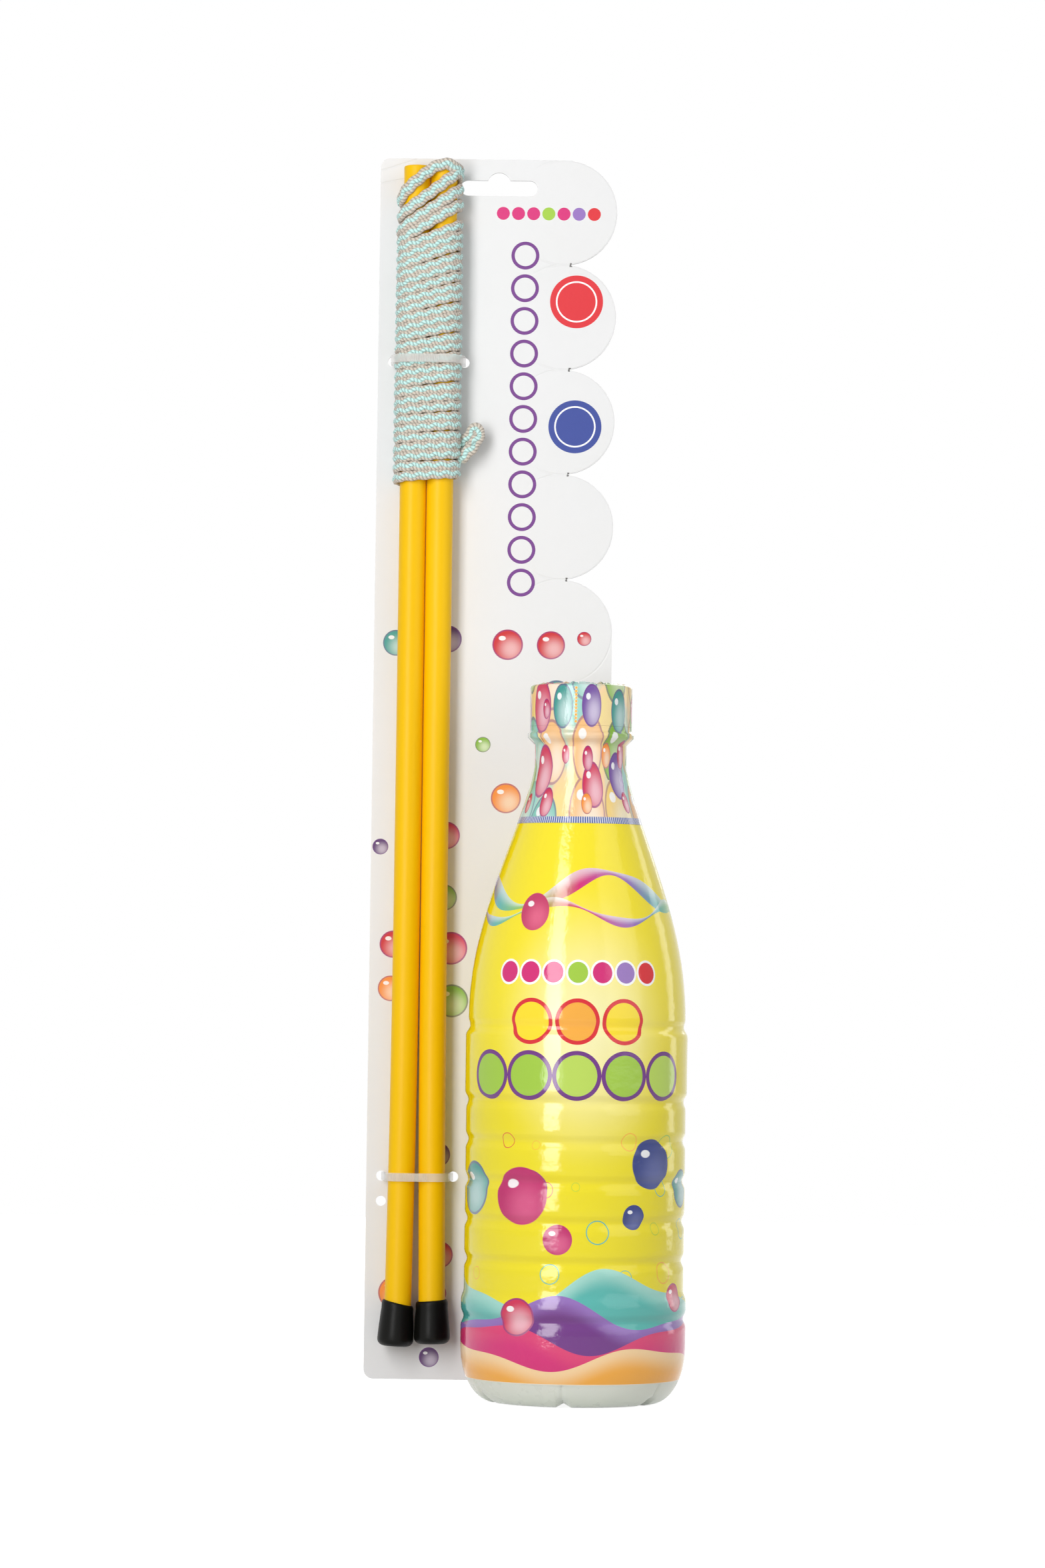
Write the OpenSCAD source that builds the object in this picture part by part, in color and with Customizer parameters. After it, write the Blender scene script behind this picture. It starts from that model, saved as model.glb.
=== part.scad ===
// Giant bubble wand on its hang card: two sticks bound by their own wound cord,
// tied to the card beside a bottle of soap solution.
// Millimetres, +Z up, +Y to the back, origin at the centre of the bottle's base.

/* [Bottle] */
// Outer radius of the bulge above the heel
bulge_r = 45.3; // [42:0.1:50]
// Outer radius of the ribbed body
body_r = 44.2; // [40:0.1:48]
// Outer radius of the smooth panel above the ribs
panel_r = 44.7; // [40:0.1:48]
// Outer radius where the shoulder starts
shoulder_r = 43.7; // [40:0.1:48]
// Outer radius of the plain neck
neck_r = 18.4; // [17:0.1:24]
// Wall of the blown body
bottle_wall = 0.8; // [0.5:0.1:1.5]
// Thickness of the base
base_t = 2; // [0.8:0.1:3]
// Outer radius of the foot ring
foot_r = 32.5; // [28:0.5:37]
// Width of the foot ring's flat
foot_flat = 5; // [3:0.5:9]
// Height of the rounded heel
heel_h = 22; // [16:0.5:27]
// Rise of the push-up inside the foot ring
punt_h = 5; // [2:0.5:10]
// Number of vent notches round the foot
notch_count = 6; // [3:1:10]
// Wall that a vent notch leaves above it
notch_floor = 0.6; // [0.4:0.1:0.7]
// Length of a vent notch across the foot ring
notch_l = 2.5; // [1:0.5:4]
// Depth of each groove
groove_depth = 1.1; // [0.4:0.1:1.8]
// Width of each groove
groove_w = 7; // [5:0.5:9]
// Height of the groove above the bulge
low_groove_z = 34; // [32:0.5:35]
// Height of the step from the bulge to the ribbed body
step_z = 43; // [42:0.5:47]
// Length of that step
step_l = 4; // [2:0.5:6]
// Height of the lowest body groove
first_groove_z = 57.3; // [55:0.1:65]
// Spacing of the body grooves
groove_pitch = 16; // [12:0.5:20]
// Number of body grooves
groove_count = 5; // [3:1:7]
// Distance from the top body groove to the shoulder groove
panel_h = 29.5; // [22:0.5:40]
// Height of the shoulder
shoulder_h = 101.5; // [80:0.5:120]
// Height of the plain neck
neck_h = 12; // [10:0.5:20]
// Headroom from the liquid to the foot of the neck
fill_drop = 41; // [25:1:80]

/* [Closure] */
// Radius of the support ring
ring_r = 21.3; // [20.5:0.1:26]
// Thickness of the support ring
ring_t = 1.6; // [1:0.1:3]
// Outer radius of the finish under its thread
finish_r = 17.6; // [16:0.1:18]
// Wall of the finish
finish_wall = 2; // [1.5:0.1:3]
// Height of the finish above the support ring
finish_h = 16.6; // [15:0.1:22]
// Pitch of the thread
thread_pitch = 4.2; // [3.8:0.1:5]
// Turns of thread on the neck
thread_turns = 1.25; // [1:0.05:1.5]
// Depth of the thread
thread_depth = 1; // [0.6:0.05:1.4]
// Width of the thread at its root
thread_w = 1.6; // [1.2:0.05:1.8]
// Clearance between the cap's thread and the neck's
thread_gap = 0.4; // [0.3:0.05:0.6]
// Height of the tamper ring
tamper_h = 2.4; // [1.5:0.1:3]
// Wall of the cap's skirt
cap_wall = 1.5; // [1:0.1:2.5]
// Thickness of the cap's top
cap_top_t = 1.6; // [1:0.1:3]
// Thickness of the liner
liner_t = 1; // [0.6:0.1:2]
// Clearance between pieces of the closure that turn on each other
turn_gap = 0.3; // [0.2:0.05:0.5]

/* [Films] */
// Thickness of the shrink film
film_t = 0.15; // [0.1:0.01:0.3]
// Clearance under the shrink film
film_gap = 0.1; // [0.05:0.01:0.2]
// Height of the sleeve's lower edge
sleeve_z = 9.5; // [6:0.5:20]
// Distance from the foot of the neck down to the seam between sleeve and seal
seam_drop = 23; // [10:0.5:40]
// Width of the film turned over the cap's top
seal_lip = 5.5; // [3:0.5:9]

/* [Card] */
// Width of the card
card_w = 98.5; // [90:0.5:120]
// Height of the card
card_h = 505.5; // [490:0.5:560]
// Thickness of the card
card_t = 1.2; // [0.8:0.1:2]
// Distance from the bottle's axis to the card's right edge
card_right = 12.5; // [11:0.5:30]
// Height of the card's lower edge
card_z = 4.4; // [2:0.1:10]
// Radius of the card's corners
corner_r = 4; // [2:0.5:10]
// Radius of the scallops
scallop_r = 21.8; // [18:0.1:25]
// Depth of the scallops
scallop_depth = 19; // [12:0.5:20]
// Number of scallops
scallop_count = 5; // [3:1:6]
// Width of the hang slot
slot_w = 32; // [28:0.5:40]
// Height of the hang slot
slot_h = 6.4; // [5:0.1:8]
// Distance from the card's top to the middle of the slot
slot_drop = 12; // [10:0.5:25]
// Radius of the bump over the slot
bump_r = 4.9; // [4:0.1:7]
// Rise of the bump above the slot
bump_rise = 3.3; // [2:0.1:4]
// Thickness of the pads between bottle and card
pad_t = 1; // [0.6:0.1:3]
// Width of the pads
pad_w = 20; // [14:0.5:22]
// Height of the lower pad
lower_pad_h = 7; // [5:0.5:8]
// Height of the upper pad
upper_pad_h = 18; // [12:0.5:20]

/* [Wand] */
// Distance from the bottle's axis to the middle of the wand
wand_x = 65; // [62:0.5:70]
// Diameter of a stick
stick_d = 11; // [9:0.1:12]
// Length of a stick
stick_len = 482; // [440:1:486]
// Height of the sticks' tops
stick_top = 505.4; // [500:0.1:520]
// Chamfer on the sticks' tops
stick_chamfer = 0.5; // [0.2:0.1:1]
// Clearance between the sticks at their tops
stick_gap = 0.1; // [0.05:0.05:0.5]
// Diameter of the hole drilled across each stick for the cord
anchor_d = 4; // [3:0.1:5]
// Distance from a stick's top to that hole
anchor_drop = 22; // [15:0.5:40]
// Largest diameter of a tip
tip_d = 14.2; // [13.6:0.1:16]
// Diameter of a tip's rim
tip_rim_d = 13; // [12.6:0.1:14]
// Height of a tip
tip_h = 19; // [14:0.5:26]
// Thickness of a tip's end
tip_end = 3.6; // [2:0.1:6]
// Radius of a tip's lower edge
tip_edge = 2.4; // [1:0.1:3]
// Clearance of a stick in its tip
tip_fit = 0.05; // [0.02:0.01:0.2]
// Clearance between the two tips
tip_gap = 0.2; // [0.1:0.05:0.5]

/* [Cord] */
// Width of the flattened cord
cord_w = 3.8; // [3:0.1:4]
// Thickness of the flattened cord
cord_t = 2.4; // [1.8:0.1:3]
// Clearance between the cord and the sticks
cord_gap = 0.3; // [0.2:0.05:0.5]
// Clearance between neighbouring turns at the bottom
turn_space = 0.8; // [0.6:0.05:1]
// Number of turns
turns = 24; // [16:1:24]
// Height of the winding's lower edge
wind_z = 374; // [340:1:376]
// Height that the winding climbs
wind_h = 123.4; // [118:0.1:124]
// Rise of the slanted turns across the front at the top
slant = 13.5; // [6:0.5:14]
// Diameter of the doubled end
bight_d = 3.2; // [2.4:0.1:4]
// Radius of the doubled end's bend
bight_r = 6; // [4.5:0.1:8]
// Straight run of the doubled end
bight_leg = 3.4; // [3:0.1:6]
// Height of the doubled end above the winding's lower edge
bight_rise = 17; // [12:0.5:30]

/* [Ties] */
// Width of a tie
tie_w = 3.4; // [2.5:0.1:3.6]
// Thickness of a tie
tie_t = 1.1; // [0.8:0.05:1.3]
// Clearance between a tie and what it binds
tie_gap = 0.3; // [0.2:0.05:0.6]
// Diameter of the holes punched for the ties
tie_hole_d = 4.2; // [4.1:0.1:6]
// Height of the upper tie
upper_tie_z = 425; // [420:1:460]
// Height of the lower tie
lower_tie_z = 88; // [60:1:200]
// Distance from the lower tie down to the spare hole
spare_drop = 10.4; // [7:0.1:20]
// Length of a tie's head along the strap
head_l = 5.5; // [4:0.1:8]
// Width of a tie's head
head_w = 5.4; // [4.5:0.1:8]
// Depth of a tie's head
head_d = 4.2; // [3:0.1:6]
// Length of the tail cut off behind the head
tail_l = 1.6; // [0.5:0.1:4]
// Radius of a tie's bends behind the card
tie_bend = 1.2; // [1:0.1:2]

/* [Hidden] */
$fn = 64;

// Counts of steps along the curves
heel_steps = 8;
groove_steps = 8;
shoulder_steps = 22;
punt_steps = 6;
edge_steps = 6;
bend_steps = 10;
thread_steps = 20;
ring_count = 24;
cord_sides = 6;
bight_sides = 8;
pad_facets = 360;

// Shape of the shoulder, found from the outline
shoulder_power = 1.25;
// Shape of the growing slant of the turns
slant_power = 1.5;
// Seating gap of flat faces on the same body
seat = 0.1;
// Depth that a thread's root is sunk into its wall
thread_sink = 0.3;
// Steps over which a thread runs out
thread_runout = 3;
// Share of the thread's height at its very end
thread_stub = 0.4;
// Share of the thread's root width at its crest
thread_crest = 0.6;
// Slope under the support ring
ring_slope = 1;
// Distance over which the film leaves the ring for the neck
film_flare = 3;
// Rounding of the film over the cap's edge
film_edge = 0.6;
// Clearance between the cord's turns and the card
card_gap = 0.3;
// Clearance of the cord's doubled end from the winding
bight_gap = 0.3;
// Chamfer on the tips' rims
rim_chamfer = 0.5;
// Turn of the vent notches round the bottle
notch_turn = -96;

// Heights of the bottle
top_groove_z = first_groove_z + (groove_count - 1)*groove_pitch;
shoulder_groove_z = top_groove_z + panel_h;
shoulder_z = shoulder_groove_z + groove_w/2;
neck_z = shoulder_z + shoulder_h;
ring_z = neck_z + neck_h;
finish_z = ring_z + ring_t;
lip_z = finish_z + finish_h;
fill_z = neck_z - fill_drop;
seam_z = neck_z - seam_drop;

// Radii and heights of the closure
foot_in = foot_r - foot_flat;
bore_r = finish_r - finish_wall;
crest_r = finish_r + thread_depth;
cap_bore_r = crest_r + thread_gap;
cap_r = cap_bore_r + cap_wall;
tamper_z = finish_z + seat;
tamper_top = tamper_z + tamper_h;
skirt_z = tamper_top + turn_gap;
liner_z = lip_z + seat;
cap_inner_z = liner_z + liner_t + seat;
cap_top = cap_inner_z + cap_top_t;
cap_thread_z = skirt_z + thread_w/2 + seat;
neck_thread_z = cap_thread_z + thread_pitch/2;
cap_thread_turns = thread_turns - 0.25;

// Planes of the card
widest_r = max(bulge_r, body_r, panel_r, shoulder_r) + film_gap + film_t;
card_y = widest_r + pad_t;
card_back = card_y + card_t;
card_left = card_right - card_w;
card_top = card_z + card_h;
card_mid_x = card_right - card_w/2;
scallop_x = card_right - scallop_r;
last_scallop_z = card_top - (2*scallop_count - 1)*scallop_r;

// Lines of the wand
stick_r = stick_d/2;
tip_r = tip_d/2;
top_half = stick_r + stick_gap/2;
foot_half = tip_r + tip_gap/2;
spread = asin((foot_half - top_half)/stick_len);
wand_y = card_y - card_gap - cord_t - cord_gap - stick_r;
lap_r = stick_r + cord_gap + cord_t/2;
tight_pitch = cord_w + turn_space;
pitch_growth = (wind_h - tight_pitch*turns)/(turns*turns);
hole_off = half_at(upper_tie_z) + stick_r + cord_gap + cord_t + tie_gap + tie_t/2;
tie_back_y = card_back + seat + tie_t/2;
bight_z = wind_z + bight_rise;

// Sum of a list
function total(v, i = 0) = i < len(v) ? v[i] + total(v, i + 1) : 0;

// A list in the other order
function reversed(v) = [for (i = [len(v) - 1:-1:0]) v[i]];

// A smooth change from 0 to 1 over t from 0 to 1
function smooth(t) = t <= 0 ? 0 : t >= 1 ? 1 : t*t*(3 - 2*t);

// Half the distance between the sticks' axes at height z
function half_at(z) = top_half + (stick_top - z)*tan(spread);

// Depth of the groove at height g, seen at height z
function dip(z, g) =
    abs(z - g) >= groove_w/2 ? 0 : groove_depth*(1 + cos(360*(z - g)/groove_w))/2;

groove_zs = concat(
    [low_groove_z],
    [for (i = [0:groove_count - 1]) first_groove_z + i*groove_pitch],
    [shoulder_groove_z]
);

// Radius of the body with its grooves filled
function full_r(z) =
    bulge_r
    + (body_r - bulge_r)*smooth((z - step_z)/step_l + 0.5)
    + (panel_r - body_r)*smooth((z - top_groove_z)/groove_w + 0.5)
    + (shoulder_r - panel_r)*smooth((z - shoulder_groove_z)/groove_w + 0.5);

// Outer radius of the bottle from its foot to its support ring
function outer_r(z) =
    z < heel_h ? foot_r + (bulge_r - foot_r)*sqrt(1 - pow(1 - z/heel_h, 2))
    : z < shoulder_z ? full_r(z) - total([for (g = groove_zs) dip(z, g)])
    : z < neck_z
        ? neck_r + (shoulder_r - neck_r)
            *pow(cos(90*(z - shoulder_z)/shoulder_h), shoulder_power)
    : neck_r;

// Heights at which the outline is drawn
function groove_stations(g) = [for (i = [0:groove_steps]) g + groove_w*(i/groove_steps - 0.5)];
heel_zs = [for (i = [1:heel_steps]) heel_h*(1 - cos(90*i/heel_steps))];
step_zs = [for (i = [-2:2]) step_z + step_l*i/4];
rib_zs = [for (i = [1:len(groove_zs) - 1]) each groove_stations(groove_zs[i])];
shoulder_zs = [for (i = [1:shoulder_steps]) shoulder_z + shoulder_h*i/shoulder_steps];
wall_zs = concat([heel_h], groove_stations(low_groove_z), step_zs, rib_zs, shoulder_zs);
outline_zs = concat([for (i = [0:heel_steps - 2]) heel_zs[i]], wall_zs);

// Points of the base, from the axis to the foot ring, raised by h
function punt(h) =
    [for (i = [0:punt_steps]) let (t = i/punt_steps) [foot_in*t, h + punt_h*(1 - t*t)]];

// Points of the heel's inside, shrunk by g
function inner_heel(g) =
    [for (i = [0:heel_steps - 1])
        let (a = 90*i/heel_steps)
        [
            foot_r - bottle_wall - g + (bulge_r - foot_r)*sin(a),
            base_t + g + (heel_h - base_t - g)*(1 - cos(a))
        ]];

// Points of the bottle's outline between two heights, moved out by off
function strip(z0, z1, off) = concat(
    [[outer_r(z0) + off, z0]],
    [for (z = outline_zs) if (z > z0 + seat && z < z1 - seat) [outer_r(z) + off, z]],
    [[outer_r(z1) + off, z1]]
);

// Triangles of a tube with n rings of m points
function tube_faces(n, m) = concat(
    [for (i = [0:n - 2], j = [0:m - 1]) each [
        [i*m + j, i*m + (j + 1)%m, (i + 1)*m + (j + 1)%m],
        [i*m + j, (i + 1)*m + (j + 1)%m, (i + 1)*m + j]
    ]],
    [for (j = [1:m - 2]) [0, j + 1, j]],
    [for (j = [1:m - 2]) [(n - 1)*m, (n - 1)*m + j, (n - 1)*m + j + 1]]
);

module tube(rings) {
    points = [for (r = rings) each r];
    polyhedron(points = points, faces = tube_faces(len(rings), len(rings[0])));
}

// Ring of m points about c, with half sizes hn along n and hb along b
function ring(c, n, b, hn, hb, m) =
    [for (j = [0:m - 1]) c + n*hn*cos(360*j/m) - b*hb*sin(360*j/m)];

function unit(v) = v/norm(v);

// Place and outward direction on a lap round both sticks,
// from the middle of the back, going left, with the share u of the lap
function lap(u, a, r) =
    let (
        arc = PI*r,
        s = (u - floor(u))*(4*a + 2*arc),
        left = 90 + (s - a)/r*180/PI,
        right = 270 + (s - 3*a - arc)/r*180/PI
    )
    s < a ? [-s, r, 0, 1]
    : s < a + arc ? [-a + r*cos(left), r*sin(left), cos(left), sin(left)]
    : s < 3*a + arc ? [s - 2*a - arc, -r, 0, -1]
    : s < 3*a + 2*arc ? [a + r*cos(right), r*sin(right), cos(right), sin(right)]
    : [4*a + 2*arc - s, r, 0, 1];

// Height of the winding's middle line after k turns, before its slant
function climb(k) = wind_z + cord_w/2 + tight_pitch*k + pitch_growth*k*k;

// Middle line of the winding: place, then outward direction
turn_marks = [
    for (i = [0:turns*ring_count])
        let (
            k = i/ring_count,
            z = climb(k),
            a = half_at(z),
            p = lap(k, a, lap_r),
            lift = slant*pow(k/turns, slant_power)*p[0]/(2*(a + lap_r))
        )
        [[p[0] - wand_x, p[1] + wand_y, z + lift], [p[2], p[3], 0]]
];
last_mark = len(turn_marks) - 1;

function mark_direction(i) =
    unit(turn_marks[min(i + 1, last_mark)][0] - turn_marks[max(i - 1, 0)][0]);

// Shortest distance from point p to the line from a to b
function to_line(p, a, b) =
    let (t = max(0, min(1, (p - a)*(b - a)/((b - a)*(b - a)))))
    norm(p - a - (b - a)*t);

// Least gap between neighbouring turns
least_gap = min([
    for (i = [0:last_mark - 1], j = [i + 14:i + 34])
        if (j < last_mark)
            to_line(turn_marks[i][0], turn_marks[j][0], turn_marks[j + 1][0])
]) - cord_w;
echo(str("least gap of the winding to itself, mm: ", least_gap));

// Points that round the corner p between a and b with radius r
function rounded(a, p, b, r) =
    let (
        u = unit(a - p),
        v = unit(b - p),
        half = acos(max(-1, min(1, u*v)))/2,
        c = p + unit(u + v)*r/sin(half),
        from = p + u*r/tan(half) - c,
        sweep = 180 - 2*half,
        turn = u[0]*v[1] - u[1]*v[0] > 0 ? -1 : 1
    )
    [for (i = [0:bend_steps])
        let (t = turn*sweep*i/bend_steps)
        c + [from[0]*cos(t) - from[1]*sin(t), from[0]*sin(t) + from[1]*cos(t)]];

// A closed line moved sideways by d
function moved(v, d) =
    [for (i = [0:len(v) - 1])
        let (
            p = v[(i + len(v) - 1)%len(v)],
            q = v[(i + 1)%len(v)],
            t = unit(q - p)
        )
        v[i] + d*[t[1], -t[0]]];

// Middle line of a tie that binds the sticks at height z with radius r about each axis
function tie_line(z, r) =
    let (
        a = half_at(z),
        back = tie_back_y - wand_y,
        hole = [-hole_off, back],
        to_axis = [-a, 0] - hole,
        angle = atan2(to_axis[1], to_axis[0]) - asin(min(1, r/norm(to_axis))),
        front = hole[0] + (-r - back)*cos(angle)/sin(angle),
        fl = [front, -r],
        fr = [-front, -r],
        br = [hole_off, back],
        bl = [-hole_off, back]
    )
    concat(
        rounded(bl, fl, fr, r),
        rounded(fl, fr, br, r),
        rounded(fr, br, bl, tie_bend),
        rounded(br, bl, fl, tie_bend)
    );

// A square with its corners at two points
module block(a, b) {
    translate(a) square(b - a);
}

module hang_slot() {
    translate([card_mid_x, card_top - slot_drop]) {
        square([slot_w - slot_h, slot_h], center = true);
        for (side = [-1, 1]) translate([side*(slot_w - slot_h)/2, 0]) circle(d = slot_h);
        translate([0, slot_h/2 + bump_rise - bump_r]) circle(r = bump_r);
    }
}

module tie_holes() {
    for (z = [upper_tie_z, lower_tie_z], side = [-1, 1])
        translate([side*hole_off - wand_x, z]) circle(d = tie_hole_d);
    translate([-hole_off - wand_x, lower_tie_z - spare_drop]) circle(d = tie_hole_d);
}

module card_outline() {
    difference() {
        union() {
            block([card_left + corner_r, card_z], [card_right - scallop_depth, card_top]);
            block([card_left, card_z + corner_r], [card_left + corner_r, card_top - corner_r]);
            block([card_left + corner_r, card_z], [card_right - corner_r, last_scallop_z]);
            block([card_right - corner_r, card_z + corner_r], [card_right, last_scallop_z]);
            for (z = [card_z + corner_r, card_top - corner_r])
                translate([card_left + corner_r, z]) circle(r = corner_r);
            translate([card_right - corner_r, card_z + corner_r]) circle(r = corner_r);
            for (i = [0:scallop_count - 1])
                translate([scallop_x, card_top - (2*i + 1)*scallop_r]) circle(r = scallop_r);
        }
        hang_slot();
        tie_holes();
    }
}

module backing_card() {
    color("white")
    translate([0, card_back, 0])
    rotate([90, 0, 0])
    linear_extrude(card_t) card_outline();
}

// Strap, head and cut tail of a tie at height z, with radius r about each stick
module tie(z, r) {
    line = tie_line(z, r);
    points = concat(moved(line, tie_t/2), moved(line, -tie_t/2));
    n = len(line);
    translate([-wand_x, wand_y, z]) {
        translate([0, 0, -tie_w/2])
        linear_extrude(tie_w)
        polygon(points, [[for (i = [0:n - 1]) i], [for (i = [n:2*n - 1]) i]]);
        translate([-head_l/2, tie_back_y - wand_y - tie_t/2, -head_w/2])
        cube([head_l, head_d, head_w]);
        translate([-tie_t/2, tie_back_y - wand_y, -tie_w/2])
        cube([tie_t, head_d - tie_t/2 + tail_l, tie_w]);
    }
}

module upper_tie() {
    color("ghostwhite")
    tie(upper_tie_z, stick_r + cord_gap + cord_t + tie_gap + tie_t/2);
}

module lower_tie() {
    color("ghostwhite")
    tie(lower_tie_z, stick_r + tie_gap + tie_t/2);
}

// What belongs to the stick on one side, drawn down from the stick's top
module on_stick(side) {
    translate([side*top_half - wand_x, wand_y, stick_top])
    rotate([0, -side*spread, 0])
    children();
}

module stick(side) {
    on_stick(side)
    difference() {
        translate([0, 0, -stick_len])
        rotate_extrude()
        polygon([
            [0, 0], [stick_r, 0], [stick_r, stick_len - stick_chamfer],
            [stick_r - stick_chamfer, stick_len], [0, stick_len]
        ]);
        translate([0, 0, -anchor_drop])
        rotate([0, 90, 0])
        cylinder(d = anchor_d, h = 2*stick_d, center = true);
    }
}

module left_stick() {
    color("gold") stick(-1);
}

module right_stick() {
    color("gold") stick(1);
}

module tip(side) {
    edge = [for (i = [0:edge_steps]) let (a = 90*i/edge_steps)
        [tip_r - tip_edge + tip_edge*sin(a), tip_edge - tip_edge*cos(a)]];
    on_stick(side)
    translate([0, 0, -stick_len - tip_end - seat])
    rotate_extrude()
    polygon(concat(
        [[0, 0]],
        edge,
        [
            [tip_rim_d/2, tip_h - rim_chamfer],
            [tip_rim_d/2 - rim_chamfer, tip_h],
            [stick_r + tip_fit, tip_h],
            [stick_r + tip_fit, tip_end],
            [0, tip_end]
        ]
    ));
}

module left_tip() {
    color([0.08, 0.08, 0.08]) tip(-1);
}

module right_tip() {
    color([0.08, 0.08, 0.08]) tip(1);
}

module cord_winding() {
    color("paleturquoise")
    tube([
        for (i = [0:last_mark])
            let (
                t = mark_direction(i),
                b = unit(cross(t, turn_marks[i][1])),
                n = cross(b, t)
            )
            ring(turn_marks[i][0], n, b, cord_t/2, cord_w/2/sin(60), cord_sides)
    ]);
}

module cord_bight() {
    start = half_at(bight_z) + lap_r + cord_t/2 + bight_gap - wand_x;
    ends = [for (side = [-1, 1]) [start, wand_y, bight_z + side*bight_r]];
    bend = [for (i = [0:bend_steps]) let (a = 180*i/bend_steps - 90)
        [start + bight_leg + bight_r*cos(a), wand_y, bight_z + bight_r*sin(a)]];
    line = concat([ends[0]], bend, [ends[1]]);
    last = len(line) - 1;
    color("paleturquoise")
    tube([
        for (i = [0:last])
            let (
                t = i == 0 ? [1, 0, 0] : i == last ? [-1, 0, 0]
                    : unit(line[i + 1] - line[i - 1]),
                b = cross(t, [0, 1, 0])
            )
            ring(line[i], [0, 1, 0], b, bight_d/2, bight_d/2, bight_sides)
    ]);
}

// Helical ridge from a sunk root to a crest, starting at height z
module thread_ridge(root, crest, z, count) {
    n = ceil(count*thread_steps);
    tube([
        for (i = [0:n])
            let (
                a = 360*count*i/n,
                h = z + thread_pitch*count*i/n,
                grow = thread_stub + (1 - thread_stub)*min(1, min(i, n - i)/thread_runout),
                r = root + (crest - root)*grow,
                w = thread_w/2,
                profile = [
                    [root, -w], [r, -w*thread_crest], [r, w*thread_crest], [root, w]
                ],
                order = crest > root ? profile : reversed(profile)
            )
            [for (p = order) [p[0]*cos(a), p[0]*sin(a), h + p[1]]]
    ]);
}

// Radial notches that let air out from under the foot
module foot_notches() {
    for (i = [0:notch_count - 1])
        rotate([0, 0, notch_turn + 360*i/notch_count])
        translate([foot_r - notch_l, 0, 0])
        rotate([0, 90, 0])
        cylinder(r = base_t - notch_floor, h = bulge_r);
}

module blown_body() {
    difference() {
        rotate_extrude()
        polygon(concat(
            punt(0),
            [[foot_r, 0]],
            [for (z = outline_zs) [outer_r(z), z]],
            [
                [neck_r, ring_z - ring_slope],
                [ring_r, ring_z],
                [ring_r, finish_z],
                [finish_r, finish_z],
                [finish_r, lip_z],
                [bore_r, lip_z],
                [bore_r, ring_z]
            ],
            [for (z = reversed(wall_zs)) [outer_r(z) - bottle_wall, z]],
            reversed(inner_heel(0)),
            reversed(punt(base_t))
        ));
        foot_notches();
    }
}

module bottle() {
    color([0.9, 0.92, 0.9])
    union() {
        blown_body();
        thread_ridge(finish_r - thread_sink, crest_r, neck_thread_z, thread_turns);
    }
}

module soap_solution() {
    color([0.85, 0.9, 0.85])
    rotate_extrude()
    polygon(concat(
        punt(base_t + seat),
        inner_heel(seat),
        [for (z = wall_zs) if (z < fill_z - seat) [outer_r(z) - bottle_wall - seat, z]],
        [[outer_r(fill_z) - bottle_wall - seat, fill_z], [0, fill_z]]
    ));
}

module tamper_ring() {
    color("white")
    translate([0, 0, tamper_z])
    difference() {
        cylinder(r = cap_r, h = tamper_h);
        translate([0, 0, -tamper_h]) cylinder(r = finish_r + turn_gap, h = 3*tamper_h);
    }
}

module screw_cap() {
    color("white")
    union() {
        rotate_extrude()
        polygon([
            [0, cap_inner_z], [cap_bore_r, cap_inner_z], [cap_bore_r, skirt_z],
            [cap_r, skirt_z], [cap_r, cap_top - film_edge],
            [cap_r - film_edge, cap_top], [0, cap_top]
        ]);
        thread_ridge(
            cap_bore_r + thread_sink, cap_bore_r - thread_depth, cap_thread_z, cap_thread_turns
        );
    }
}

module cap_liner() {
    color("lightgray")
    translate([0, 0, liner_z]) cylinder(r = cap_bore_r - turn_gap, h = liner_t);
}

module body_sleeve() {
    color("yellow")
    rotate_extrude()
    polygon(concat(
        strip(sleeve_z, seam_z, film_gap + film_t),
        reversed(strip(sleeve_z, seam_z, film_gap))
    ));
}

// Film line over the neck, the support ring and the tamper ring, moved out by off
function seal_line(off) = concat(
    strip(seam_z + seat, ring_z - film_flare, off),
    [
        [ring_r + off, ring_z - seat],
        [ring_r + off, finish_z],
        [cap_r + off, finish_z + film_edge],
        [cap_r + off, tamper_top]
    ]
);

module neck_seal() {
    color("mediumpurple")
    rotate_extrude()
    polygon(concat(seal_line(film_gap + film_t), reversed(seal_line(film_gap))));
}

// Film line up the cap and over its edge, moved out by off
function cap_line(off) = [
    [cap_r + off, skirt_z],
    [cap_r + off, cap_top - film_edge + off/2],
    [cap_r - film_edge + off/2, cap_top + off],
    [cap_r - seal_lip, cap_top + off]
];

module cap_seal() {
    color("orange")
    rotate_extrude()
    polygon(concat(cap_line(film_gap + film_t), reversed(cap_line(film_gap))));
}

// Pad at height z that fills the gap from a film of radius r to the card
module pad(z, h, r) {
    difference() {
        translate([-pad_w/2, 0, z - h/2]) cube([pad_w, card_y - seat, h]);
        translate([0, 0, z - h]) cylinder(r = r + film_gap + film_t + seat, h = 2*h, $fn = pad_facets);
    }
}

module upper_pad() {
    color("gainsboro")
    pad((top_groove_z + shoulder_groove_z)/2, upper_pad_h, panel_r);
}

module lower_pad() {
    color("gainsboro")
    pad((heel_h + low_groove_z - groove_w/2)/2, lower_pad_h, bulge_r);
}

backing_card();
upper_tie();
lower_tie();
left_stick();
right_stick();
left_tip();
right_tip();
cord_winding();
cord_bight();
bottle();
soap_solution();
tamper_ring();
screw_cap();
cap_liner();
body_sleeve();
neck_seal();
cap_seal();
upper_pad();
lower_pad();
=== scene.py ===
"""Dresses a bubble wand that is tied to its hang card beside a bottle of soap solution."""

import math
from functools import partialmethod

import bpy
from bpy.props import FloatProperty, FloatVectorProperty, IntProperty, PointerProperty
from bpy.types import NodeSocket, Operator, Panel, PropertyGroup
from mathutils import Matrix, Vector


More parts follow.
